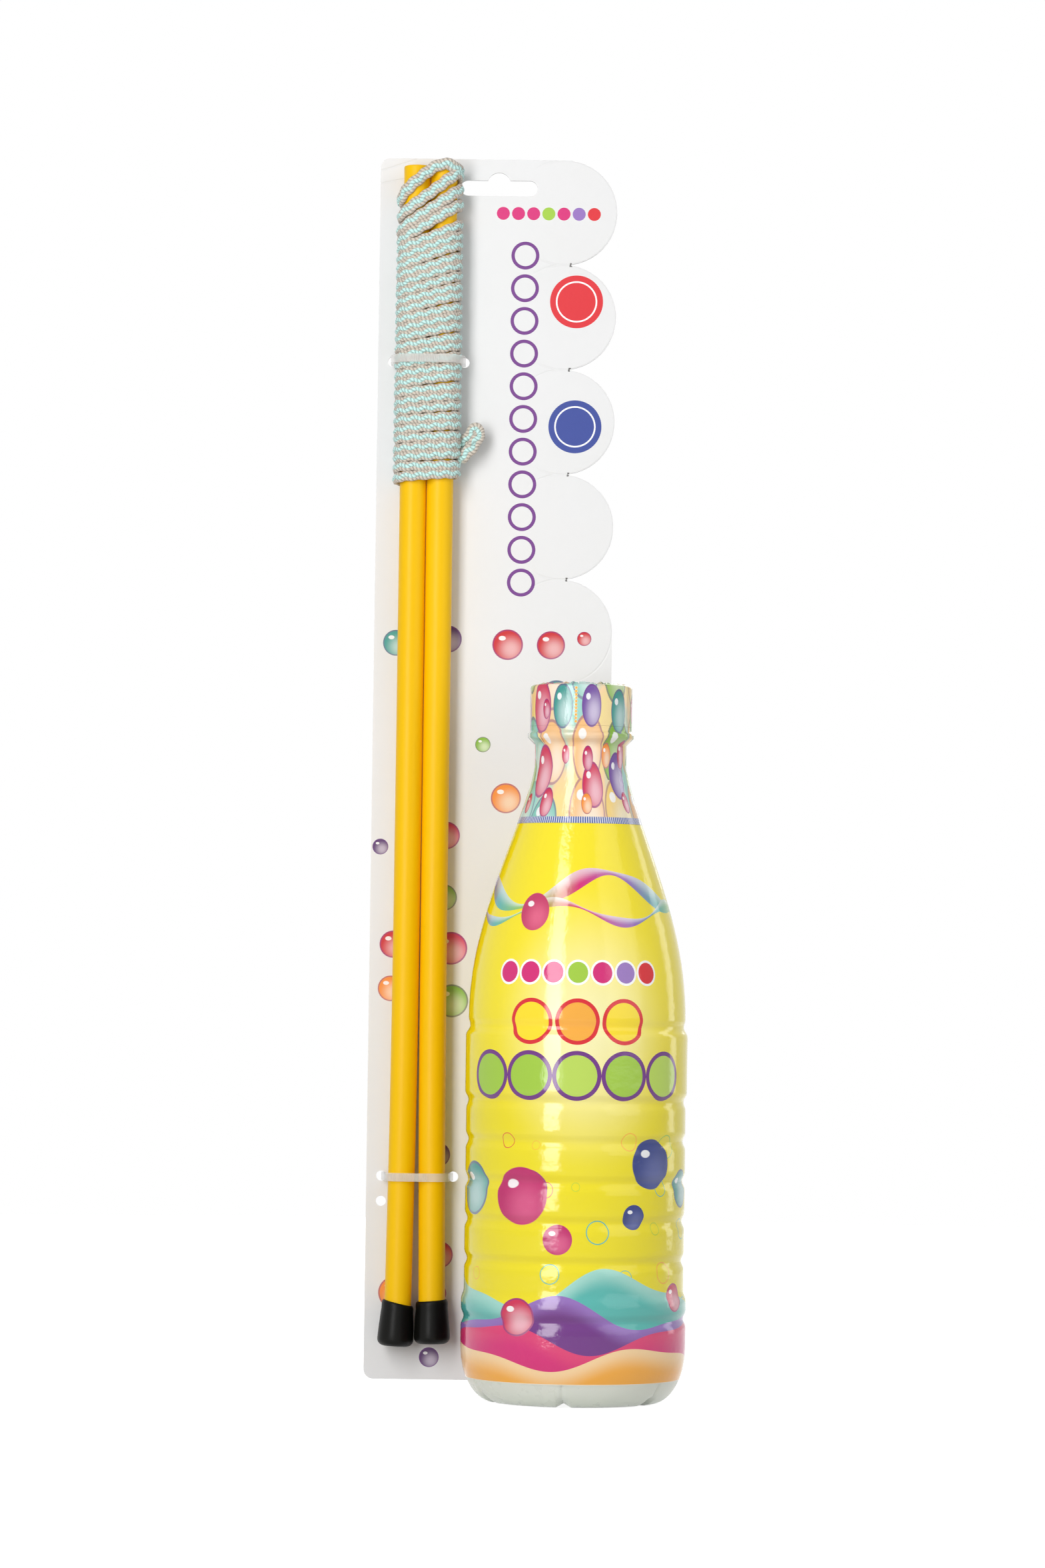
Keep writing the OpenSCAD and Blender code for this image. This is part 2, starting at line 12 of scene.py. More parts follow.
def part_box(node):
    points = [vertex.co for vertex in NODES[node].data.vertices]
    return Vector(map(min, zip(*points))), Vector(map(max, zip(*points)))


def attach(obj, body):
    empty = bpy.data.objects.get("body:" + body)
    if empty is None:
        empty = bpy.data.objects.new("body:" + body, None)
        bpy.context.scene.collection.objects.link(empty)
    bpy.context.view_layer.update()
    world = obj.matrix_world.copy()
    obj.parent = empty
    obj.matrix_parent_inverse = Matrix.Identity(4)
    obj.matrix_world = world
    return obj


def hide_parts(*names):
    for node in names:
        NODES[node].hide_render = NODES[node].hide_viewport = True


bl_info = {
    "name": "Bubble wand pack",
    "version": (1, 0, 0),
    "blender": (4, 5, 0),
    "location": "View3D > Sidebar > Wand pack",
    "description": "Builds a bubble wand, its bottle and its hang card round the packed parts",
    "category": "Object",
}

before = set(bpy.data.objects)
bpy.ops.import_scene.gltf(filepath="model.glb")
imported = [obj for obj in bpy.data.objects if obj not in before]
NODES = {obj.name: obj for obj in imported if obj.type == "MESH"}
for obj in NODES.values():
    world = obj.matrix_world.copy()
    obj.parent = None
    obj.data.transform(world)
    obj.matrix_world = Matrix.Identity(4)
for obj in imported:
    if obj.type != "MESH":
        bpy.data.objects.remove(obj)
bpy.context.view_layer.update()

MM = 0.001
CARD_LOW, CARD_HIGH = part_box("backing_card")
LEFT_LOW, LEFT_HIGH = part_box("left_stick")
RIGHT_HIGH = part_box("right_stick")[1]
BIGHT_LOW, BIGHT_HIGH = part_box("cord_bight")
WAND_X = (LEFT_LOW.x + RIGHT_HIGH.x) / 2
WAND_Y = (LEFT_LOW.y + LEFT_HIGH.y) / 2


def screen(red, green, blue):
    """Linear colour of a screen colour given from 0 to 255."""
    def channel(value):
        share = value / 255
        return share / 12.92 if share <= 0.04045 else ((share + 0.055) / 1.055) ** 2.4
    return (channel(red), channel(green), channel(blue), 1.0)


WHITE = (1.0, 1.0, 1.0, 1.0)
PURPLE = screen(112, 46, 134)
LILAC = screen(150, 112, 190)
PINK = screen(226, 60, 116)
MAGENTA = screen(216, 30, 118)
RED = screen(222, 32, 44)
ORANGE = screen(250, 176, 60)
PEACH = screen(252, 216, 164)
LIME = screen(164, 206, 62)
TEAL = screen(86, 184, 176)
AQUA = screen(164, 220, 208)
BLUE = screen(44, 66, 150)
SAND = screen(250, 226, 150)


def faded(colour, factor):
    """A colour made darker by a factor."""
    return tuple(part * factor for part in colour[:3]) + (1.0,)


def clamped(value):
    """A value kept between 0 and 1."""
    return min(1.0, max(0.0, value))


def size_of(name, about, default):
    """A length that a user may change."""
    return FloatProperty(name=name, description=about, default=default, unit="LENGTH", precision=4)


def number_of(name, about, default, unit="NONE"):
    """A number that a user may change."""
    return FloatProperty(name=name, description=about, default=default, unit=unit)


def colour_of(name, about, default):
    """A colour that a user may change."""
    return FloatVectorProperty(name=name, description=about, default=default, size=4,
                               subtype="COLOR", min=0.0, max=1.0)


class WandSizes(PropertyGroup):
    """Sizes and colours of the sticks and their tips."""

    stick_length: size_of("Stick length", "Length of a dowel", 0.482)
    stick_diameter: size_of("Stick diameter", "Thickness of a dowel", LEFT_HIGH.y - LEFT_LOW.y)
    stick_edge: size_of("Stick edge", "Rounding of a dowel's cut ends", 0.0007)
    top_half: size_of("Top half gap", "Half the distance of the dowels' axes at the top", 0.00555)
    foot_half: size_of("Foot half gap", "Half the distance of the dowels' axes at the foot", 0.0072)
    tip_height: size_of("Tip height", "Height of a rubber tip", 0.0178)
    tip_diameter: size_of("Tip diameter", "Widest part of a rubber tip", 0.0149)
    tip_rim: size_of("Tip rim", "Diameter of a rubber tip at its mouth", 0.013)
    tip_end: size_of("Tip end", "Rubber below the dowel's end", 0.0036)
    paint: colour_of("Paint", "Paint of the dowels", screen(255, 204, 0))
    rubber: colour_of("Rubber", "Colour of the tips", screen(16, 16, 14))


class CordSizes(PropertyGroup):
    """Sizes and colours of the knitted cord."""

    width: size_of("Width", "Width of the cord across its face", 0.0039)
    lap: size_of("Lap radius", "Radius of the cord's middle line round a dowel", 0.00684)
    middle_strand: size_of("Middle strand", "Radius of the strand in the cord's middle", 0.00093)
    outer_strand: size_of("Outer strand", "Radius of the strands at the cord's edges", 0.00098)
    swing: size_of("Swing", "Sideways swing of the knitted strands", 0.0005)
    stitch: size_of("Stitch", "Length of one swing to and fro", 0.0054)
    first_turn: size_of("First turn", "Height of the lowest turn", 0.3769)
    tight_pitch: size_of("Tight pitch", "Rise of a tight turn", 0.00394)
    tight_rise: size_of("Tight rise", "Slant of the last tight turn across the wand", 0.0088)
    tight_turns: IntProperty(name="Tight turns", description="Turns that lie close", default=25, min=1)
    blue: colour_of("Blue yarn", "Colour of the middle strand", screen(214, 255, 250))
    beige: colour_of("Beige yarn", "Colour of the outer strands", screen(224, 213, 199))


class PrintColours(PropertyGroup):
    """Colours of the card, the films and the plastics."""

    board: colour_of("Board", "Coated face of the card", screen(238, 238, 239))
    film: colour_of("Film", "Ground colour of the body film", screen(252, 232, 16))
    # Painted shade: a darker yellow for the lower body film, where less light falls from above.
    film_shaded_low: colour_of("Film low", "Ground colour low on the body film", screen(242, 225, 6))
    glow: colour_of("Glow", "Pale ground in the middle of the body film", screen(255, 250, 200))
    bottle: colour_of("Bottle", "Milky plastic of the bottle", screen(237, 244, 229))
    closure: colour_of("Closure", "Plastic of the closure", screen(240, 240, 236))
    nylon: colour_of("Nylon", "Colour of the cable ties", screen(248, 246, 242))


class StageSettings(PropertyGroup):
    """Camera, lamps and floor."""

    camera_place: FloatVectorProperty(
        name="Camera place", description="Where the camera stands", size=3, subtype="XYZ",
        unit="LENGTH", default=(-0.008738, -2.2, 0.17405))
    yaw: number_of("Yaw", "Turn of the camera to the right", -0.00666, "ROTATION")
    pitch: number_of("Pitch", "Tilt of the camera upwards", 0.03403, "ROTATION")
    roll: number_of("Roll", "Roll of the camera", 0.01372, "ROTATION")
    lens: number_of("Lens", "Focal length on a 36 mm high sensor, in mm", 124.74)
    key: number_of("Key light", "Power of the tall soft box", 17.5, "POWER")
    fill: number_of("Fill light", "Power of the wide soft box", 5.6, "POWER")
    ambient: number_of("Ambient", "Strength of the room's light", 0.31)


# Modelling by hand


def deselect():
    """Leaves nothing selected."""
    bpy.ops.object.select_all(action="DESELECT")


def only(piece):
    """Makes one piece the active and the only selected one."""
    deselect()
    piece.select_set(True)
    bpy.context.view_layer.objects.active = piece


def edit():
    """Enters edit mode."""
    bpy.ops.object.mode_set(mode="EDIT")


def leave():
    """Leaves edit mode."""
    bpy.ops.object.mode_set(mode="OBJECT")


def select_none(piece, kind):
    """Leaves nothing selected in a piece, with the kind of element to select next."""
    only(piece)
    edit()
    bpy.ops.mesh.select_mode(type=kind)
    bpy.ops.mesh.select_all(action="DESELECT")
    leave()


def select_verts(piece, test):
    """Enters edit mode with the vertices selected whose place passes the test."""
    select_none(piece, "VERT")
    for vert in piece.data.vertices:
        vert.select = test(vert.co)
    edit()


def select_edges(piece, test):
    """Enters edit mode with the edges selected whose two ends pass the test."""
    select_none(piece, "EDGE")
    verts = piece.data.vertices
    for edge in piece.data.edges:
        first, second = edge.vertices
        edge.select = test(verts[first].co, verts[second].co)
    edit()


def smooth(piece, degrees=40):
    """Shades a piece smooth, with edges kept where faces meet at a wide angle."""
    only(piece)
    bpy.ops.object.shade_smooth_by_angle(angle=math.radians(degrees))


def settle(piece):
    """Puts a piece's place, turn and scale into its mesh."""
    only(piece)
    bpy.ops.object.transform_apply(location=True, rotation=True, scale=True)


def apply_modifier(piece, kind, **settings):
    """Adds a modifier with its settings and applies it."""
    only(piece)
    modifier = piece.modifiers.new(kind.title(), kind)
    for name, value in settings.items():
        setattr(modifier, name, value)
    bpy.ops.object.modifier_apply(modifier=modifier.name)


def turned(name, profile, steps):
    """Spins a line of points (radius, height) round the Z axis into a closed or open shell."""
    deselect()
    bpy.ops.mesh.primitive_plane_add(size=MM, location=(0, 0, 0))
    piece = bpy.context.object
    piece.name = name
    edit()
    bpy.ops.mesh.select_mode(type="VERT")
    bpy.ops.mesh.select_all(action="SELECT")
    bpy.ops.mesh.merge(type="CENTER")
    bpy.ops.transform.translate(value=(profile[0][0], 0, profile[0][1]))
    for (near, low), (far, high) in zip(profile, profile[1:]):
        bpy.ops.mesh.extrude_region_move(
            TRANSFORM_OT_translate={"value": (far - near, 0, high - low)})
    bpy.ops.mesh.select_all(action="SELECT")
    bpy.ops.mesh.spin(steps=steps, angle=2 * math.pi, center=(0, 0, 0), axis=(0, 0, 1))
    bpy.ops.mesh.select_all(action="SELECT")
    bpy.ops.mesh.remove_doubles(threshold=2e-6)
    bpy.ops.mesh.normals_make_consistent(inside=False)
    leave()
    return piece


def copy_of(piece, name):
    """A copy of a piece with a mesh of its own."""
    only(piece)
    bpy.ops.object.duplicate(linked=False)
    copy = bpy.context.object
    copy.name = name
    return copy


def merged_copy(node, name):
    """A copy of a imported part's mesh, merged and free of its parent."""
    deselect()
    source = NODES[node]
    copy = bpy.data.objects.new(name, source.data.copy())
    bpy.context.scene.collection.objects.link(copy)
    only(copy)
    edit()
    bpy.ops.mesh.select_all(action="SELECT")
    bpy.ops.mesh.remove_doubles(threshold=2e-6)
    leave()
    bpy.ops.mesh.customdata_custom_splitnormals_clear()
    return copy


def outline(node, step):
    """The outer line (radius, height) of a packed shell of revolution, in steps no longer than given."""
    widest = {}
    for vert in NODES[node].data.vertices:
        height = round(vert.co.z, 5)
        widest[height] = max(widest.get(height, 0.0), math.hypot(vert.co.x, vert.co.y))
    corners = [(widest[height], height) for height in sorted(widest)]
    line = [corners[0]]
    for (near, low), (far, high) in zip(corners, corners[1:]):
        count = max(1, math.ceil((high - low) / step))
        for index in range(1, count + 1):
            share = index / count
            line.append((near + (far - near) * share, low + (high - low) * share))
    return line


def dress(piece, material):
    """Gives a piece one material."""
    piece.data.materials.clear()
    piece.data.materials.append(material)


# Wiring of materials


class Wiring:
    """Adds nodes to one node tree and wires their sockets."""

    def __init__(self, tree):
        self.tree = tree

    def feed(self, socket, value):
        """Links a socket, or sets its value."""
        if isinstance(value, NodeSocket):
            self.tree.links.new(value, socket)
        else:
            socket.default_value = value

    def node(self, kind, inputs=None, **settings):
        """A new node with its settings and inputs."""
        made = self.tree.nodes.new(kind)
        for name, value in settings.items():
            setattr(made, name, value)
        for key, value in (inputs or {}).items():
            self.feed(made.inputs[key], value)
        return made

    def math(self, operation, *values):
        """Result of a Math node."""
        return self.node("ShaderNodeMath", dict(enumerate(values)), operation=operation).outputs[0]

    plus = partialmethod(math, "ADD")
    minus = partialmethod(math, "SUBTRACT")
    times = partialmethod(math, "MULTIPLY")
    over = partialmethod(math, "DIVIDE")
    times_plus = partialmethod(math, "MULTIPLY_ADD")
    below = partialmethod(math, "LESS_THAN")
    above = partialmethod(math, "GREATER_THAN")
    least = partialmethod(math, "MINIMUM")
    most = partialmethod(math, "MAXIMUM")
    size = partialmethod(math, "ABSOLUTE")
    sine = partialmethod(math, "SINE")

    def vector(self, operation, *values):
        """Result of a Vector Math node."""
        made = self.node("ShaderNodeVectorMath", dict(enumerate(values)), operation=operation)
        return made.outputs[0]

    def scaled(self, vector, factor):
        """A vector times a number."""
        made = self.node("ShaderNodeVectorMath", {0: vector, "Scale": factor}, operation="SCALE")
        return made.outputs[0]

    def length(self, vector):
        """Length of a vector."""
        return self.node("ShaderNodeVectorMath", {0: vector}, operation="LENGTH").outputs["Value"]

    def parts(self, vector):
        """X, Y and Z of a vector."""
        return self.node("ShaderNodeSeparateXYZ", {0: vector}).outputs

    def joined(self, across, up, deep=0.0):
        """A vector from its parts."""
        return self.node("ShaderNodeCombineXYZ", {0: across, 1: up, 2: deep}).outputs[0]

    def ease(self, value, start, end, low=0.0, high=1.0):
        """Smooth step from low to high while the value goes from start to end."""
        inputs = {0: value, 1: start, 2: end, 3: low, 4: high}
        return self.node("ShaderNodeMapRange", inputs, interpolation_type="SMOOTHSTEP").outputs[0]

    def mixed(self, factor, under, over, blend="MIX"):
        """One colour laid over another."""
        inputs = {0: factor, 6: under, 7: over}
        return self.node("ShaderNodeMix", inputs, data_type="RGBA", blend_type=blend).outputs[2]

    def ramp(self, factor, stops, interpolation="LINEAR"):
        """Colour from a ramp with stops (place, colour)."""
        made = self.node("ShaderNodeValToRGB", {0: factor})
        made.color_ramp.interpolation = interpolation
        elements = made.color_ramp.elements
        while len(elements) < len(stops):
            elements.new(0.5)
        for element, (place, colour) in zip(elements, stops):
            element.position = place
            element.color = colour
        return made.outputs[0]

    def noise(self, vector, scale, detail=2.0):
        """Noise value."""
        inputs = {"Vector": vector, "Scale": scale, "Detail": detail}
        return self.node("ShaderNodeTexNoise", inputs).outputs[0]

    def group(self, name, inputs):
        """Outputs of a shared node group."""
        made = self.node("ShaderNodeGroup", node_tree=bpy.data.node_groups[name])
        for key, value in inputs.items():
            self.feed(made.inputs[key], value)
        return made.outputs

    def place(self):
        """Object coordinates in millimetres."""
        return self.scaled(self.node("ShaderNodeTexCoord").outputs["Object"], 1000.0)

    def wrapped(self, radius):
        """Place on a film round the Z axis: distance round from the front, and height, in millimetres."""
        spot = self.parts(self.place())
        angle = self.math("ARCTAN2", spot[0], self.times(spot[1], -1.0))
        return self.joined(self.times(angle, radius), spot[2])

    def bumped(self, height, strength, depth):
        """Normal of a surface with the given height."""
        return self.node("ShaderNodeBump", {"Height": height, "Strength": strength,
                                            "Distance": depth}).outputs[0]


def shared(name, vector, numbers, results):
    """A new node group with a vector and numbers as inputs: its wiring, its inputs and its results."""
    tree = bpy.data.node_groups.new(name, "ShaderNodeTree")
    tree.interface.new_socket(vector, in_out="INPUT", socket_type="NodeSocketVector")
    for label, default in numbers.items():
        socket = tree.interface.new_socket(label, in_out="INPUT", socket_type="NodeSocketFloat")
        socket.default_value = default
    for label in results:
        tree.interface.new_socket(label, in_out="OUTPUT", socket_type="NodeSocketFloat")
    wiring = Wiring(tree)
    return wiring, wiring.node("NodeGroupInput").outputs, wiring.node("NodeGroupOutput").inputs


def make_ball_group():
    """Look of a drawn glossy ball from a place measured in its radius."""
    wiring, given, result = shared(
        "Drawn ball", "Offset", {}, ("Mask", "Shade", "Glint", "Outline"))
    far = wiring.length(given["Offset"])
    low = wiring.length(wiring.vector("SUBTRACT", given["Offset"], (0.22, -0.3, 0.0)))
    glint = wiring.vector("SUBTRACT", given["Offset"], (-0.36, 0.42, 0.0))
    glint = wiring.length(wiring.vector("MULTIPLY", glint, (1.0, 1.5, 0.0)))
    wiring.feed(result["Mask"], wiring.ease(far, 1.02, 0.98))
    wiring.feed(result["Shade"], wiring.ease(low, 1.15, 0.1))
    wiring.feed(result["Glint"], wiring.ease(glint, 0.26, 0.2))
    rim = wiring.times(wiring.ease(far, 0.88, 0.93), wiring.ease(far, 1.02, 0.98))
    wiring.feed(result["Outline"], rim)


def make_scatter_group():
    """Drawn balls of several sizes scattered over a print."""
    wiring, given, result = shared(
        "Scattered balls", "Vector",
        {"Cell": 24.0, "Least": 0.12, "Most": 0.4, "Share": 0.6, "Jitter": 0.6, "Clear From": 0.0,
         "Clear To": 0.0, "Room": 9.0},
        ("Mask", "Shade", "Glint", "Outline", "Pick"))
    scale = wiring.over(1.0, given["Cell"])
    seeds = {"Vector": given["Vector"], "Scale": scale, "Randomness": given["Jitter"]}
    cells = wiring.node("ShaderNodeTexVoronoi", seeds, voronoi_dimensions="2D").outputs
    free = wiring.node("ShaderNodeTexVoronoi", seeds, voronoi_dimensions="2D",
                       feature="N_SPHERE_RADIUS").outputs["Radius"]
    chance = wiring.parts(cells["Color"])
    spread = wiring.minus(given["Most"], given["Least"])
    radius = wiring.times_plus(chance[0], spread, given["Least"])
    radius = wiring.least(radius, wiring.times(free, given["Room"]))
    radius = wiring.times(radius, given["Cell"])
    offset = wiring.vector("SUBTRACT", given["Vector"], cells["Position"])
    offset = wiring.scaled(offset, wiring.over(1.0, radius))
    look = wiring.group("Drawn ball", {"Offset": offset})
    there = wiring.below(chance[1], given["Share"])
    level = wiring.parts(cells["Position"])[1]
    outside = wiring.most(wiring.below(level, given["Clear From"]), wiring.above(level, given["Clear To"]))
    there = wiring.times(there, outside)
    for label in ("Mask", "Outline"):
        wiring.feed(result[label], wiring.times(look[label], there))
    wiring.feed(result["Shade"], look["Shade"])
    wiring.feed(result["Glint"], look["Glint"])
    wiring.feed(result["Pick"], chance[2])


def make_row_group():
    """A row of round dots with rims."""
    wiring, given, result = shared(
        "Dot row", "Vector", {"Height": 0.0, "Pitch": 10.0, "Radius": 4.0, "Rim": 0.8, "Reach": 30.0},
        ("Fill", "Rim", "Pick"))
    spot = wiring.parts(given["Vector"])
    index = wiring.math("ROUND", wiring.over(spot[0], given["Pitch"]))
    centre = wiring.times(index, given["Pitch"])
    across = wiring.minus(spot[0], centre)
    up = wiring.minus(spot[1], given["Height"])
    far = wiring.length(wiring.joined(across, up))
    near = wiring.below(wiring.size(centre), given["Reach"])
    fill = wiring.below(far, given["Radius"])
    whole = wiring.below(far, wiring.plus(given["Radius"], given["Rim"]))
    rim = wiring.minus(whole, fill)
    pick = wiring.node("ShaderNodeTexWhiteNoise", {"W": index}, noise_dimensions="1D").outputs["Value"]
    wiring.feed(result["Fill"], wiring.times(fill, near))
    wiring.feed(result["Rim"], wiring.times(rim, near))
    wiring.feed(result["Pick"], pick)


def make_wave_group():
    """A band of print under a swinging edge."""
    wiring, given, result = shared(
        "Wave edge", "Vector", {"Height": 0.0, "Swing": 5.0, "Length": 94.0, "Turn": 0.0},
        ("Mask", "Depth"))
    spot = wiring.parts(given["Vector"])
    round_by = wiring.over(wiring.times(spot[0], 2 * math.pi), given["Length"])
    first = wiring.sine(wiring.plus(round_by, given["Turn"]))
    second = wiring.sine(wiring.times_plus(round_by, 2.0, given["Turn"]))
    swing = wiring.times_plus(second, 0.35, first)
    edge = wiring.times_plus(swing, given["Swing"], given["Height"])
    depth = wiring.minus(edge, spot[1])
    wiring.feed(result["Mask"], wiring.ease(depth, -0.1, 0.1))
    wiring.feed(result["Depth"], depth)


def make_ribbon_group():
    """A swinging ribbon of changing width."""
    wiring, given, result = shared(
        "Ribbon", "Vector", {"Height": 0.0, "Swing": 5.0, "Length": 94.0, "Turn": 0.0, "Width": 4.0},
        ("Mask", "Across"))
    spot = wiring.parts(given["Vector"])
    round_by = wiring.over(wiring.times(spot[0], 2 * math.pi), given["Length"])
    middle = wiring.sine(wiring.plus(round_by, given["Turn"]))
    middle = wiring.times_plus(middle, given["Swing"], given["Height"])
    half = wiring.math("COSINE", wiring.times_plus(round_by, 2.0, given["Turn"]))
    half = wiring.times(wiring.times_plus(half, 0.4, 0.6), given["Width"])
    across = wiring.over(wiring.minus(spot[1], middle), half)
    wiring.feed(result["Mask"], wiring.ease(wiring.size(across), 1.03, 0.97))
    wiring.feed(result["Across"], wiring.times_plus(across, 0.5, 0.5))


def make_grain_group():
    """Fine unevenness of a surface: tone, gloss and height."""
    wiring, given, result = shared(
        "Fine grain", "Vector", {"Coarse": 0.08, "Fine": 1.2}, ("Tone", "Gloss", "Height"))
    coarse = wiring.noise(given["Vector"], given["Coarse"], 3.0)
    fine = wiring.noise(given["Vector"], given["Fine"], 4.0)
    wiring.feed(result["Tone"], coarse)
    gloss = wiring.times_plus(fine, 0.5, wiring.times(coarse, 0.5))
    wiring.feed(result["Gloss"], gloss)
    wiring.feed(result["Height"], wiring.times_plus(coarse, 0.6, fine))


def make_groups():
    """Builds each shared node group once."""
    make_ball_group()
    make_scatter_group()
    make_row_group()
    make_wave_group()
    make_ribbon_group()
    make_grain_group()


def blank(owner):
    """The wiring of a new material or world, once its first nodes are gone."""
    owner.use_nodes = True
    owner.node_tree.nodes.clear()
    return Wiring(owner.node_tree)


def finish(name, **fixed):
    """A new material with its wiring and its shader, whose fixed sockets are set."""
    material = bpy.data.materials.new(name)
    wiring = blank(material)
    shader = wiring.node("ShaderNodeBsdfPrincipled")
    for label, value in fixed.items():
        shader.inputs[label.replace("_", " ")].default_value = value
    wiring.node("ShaderNodeOutputMaterial", {"Surface": shader.outputs[0]})
    return material, wiring, shader.inputs


def vary_gloss(wiring, shader, grain, rough):
    """Lets the gloss vary a little with the grain."""
    wiring.feed(shader["Roughness"], wiring.ease(grain["Gloss"], 0.2, 0.8, rough - 0.07, rough + 0.07))


def plain_finish(name, colour, change, rough, coarse, fine, bump, strength=0.5, **fixed):
    """A plain finish whose colour, gloss and surface vary a little."""
    material, wiring, shader = finish(name, **fixed)
    grain = wiring.group("Fine grain", {"Vector": wiring.place(), "Coarse": coarse, "Fine": fine})
    wiring.feed(shader["Base Color"], wiring.mixed(grain["Tone"], faded(colour, 1 - change), colour))
    vary_gloss(wiring, shader, grain, rough)
    wiring.feed(shader["Normal"], wiring.bumped(grain["Height"], strength, bump))
    return material


def picked(wiring, pick, colours):
    """A colour picked from a list by a number from 0 to 1."""
    stops = [(index / len(colours), colour) for index, colour in enumerate(colours)]
    return wiring.ramp(pick, stops, "CONSTANT")


def paint_balls(wiring, under, balls, colours):
    """Lays drawn balls over a print, in colours picked from a list."""
    colour = picked(wiring, balls["Pick"], colours)
    deep = wiring.mixed(0.62, colour, wiring.mixed(1.0, colour, colour, "MULTIPLY"))
    pale = wiring.mixed(0.45, colour, WHITE)
    body = wiring.mixed(balls["Shade"], deep, pale)
    body = wiring.mixed(wiring.times(balls["Outline"], 0.55), body, PURPLE)
    body = wiring.mixed(wiring.times(balls["Glint"], 0.9), body, WHITE)
    return wiring.mixed(balls["Mask"], under, body)


def paint_ball(wiring, under, vector, across, up, radius, colour):
    """Lays one drawn ball over a print."""
    offset = wiring.scaled(wiring.vector("SUBTRACT", vector, (across, up, 0.0)), 1 / radius)
    look = wiring.group("Drawn ball", {"Offset": offset})
    deep = faded(colour, 0.75)
    pale = tuple(part * 0.92 + 0.08 for part in colour[:3]) + (1.0,)
    body = wiring.mixed(look["Shade"], deep, pale)
    body = wiring.mixed(wiring.times(look["Glint"], 0.9), body, WHITE)
    return wiring.mixed(look["Mask"], under, body)


def paint_row(wiring, under, row, colours, rim):
    """Lays a row of rimmed dots over a print."""
    fill = picked(wiring, row["Pick"], colours)
    return wiring.mixed(row["Fill"], wiring.mixed(row["Rim"], under, rim), fill)


def paint_wave(wiring, under, wave, deep, pale):
    """Lays a band under a wave edge over a print, pale along its crest."""
    body = wiring.mixed(wiring.ease(wave["Depth"], 0.4, 9.0), pale, deep)
    return wiring.mixed(wave["Mask"], under, body)


def spot_mask(wiring, vector, across, up, radius):
    """Mask of a round spot of print."""
    far = wiring.length(wiring.vector("SUBTRACT", vector, (across, up, 0.0)))
    return wiring.below(far, radius)


def paint_disc(wiring, under, vector, across, up, radius, colour):
    """Lays a round disc with a white ring in it over a print."""
    whole = wiring.mixed(spot_mask(wiring, vector, across, up, radius), under, colour)
    ring = wiring.mixed(spot_mask(wiring, vector, across, up, 0.78 * radius), whole, WHITE)
    return wiring.mixed(spot_mask(wiring, vector, across, up, 0.72 * radius), ring, colour)


# Finishes of this pack

FILM_RADIUS = 44.9
FILM_LENGTH = 2 * math.pi * FILM_RADIUS
CAP_SQUEEZE = 20.7 / FILM_RADIUS
SCALLOP_PITCH = 43.6
SCALLOP_MIDDLE = 313.7
SCALLOP_X = -9.3
NICK_OUT = 1.9
NICK_LOW, NICK_HIGH = 330.0, 490.0
NICK_FADE = 4.0


def film_surface(wiring, shader, vector):
    """Gloss and faint ripples of shrunk film."""
    grain = wiring.group("Fine grain", {"Vector": vector, "Coarse": 0.05, "Fine": 0.35})
    wiring.feed(shader["Roughness"], wiring.ease(grain["Gloss"], 0.2, 0.8, 0.07, 0.14))
    wiring.feed(shader["Normal"], wiring.bumped(grain["Height"], 0.35, 0.00025))


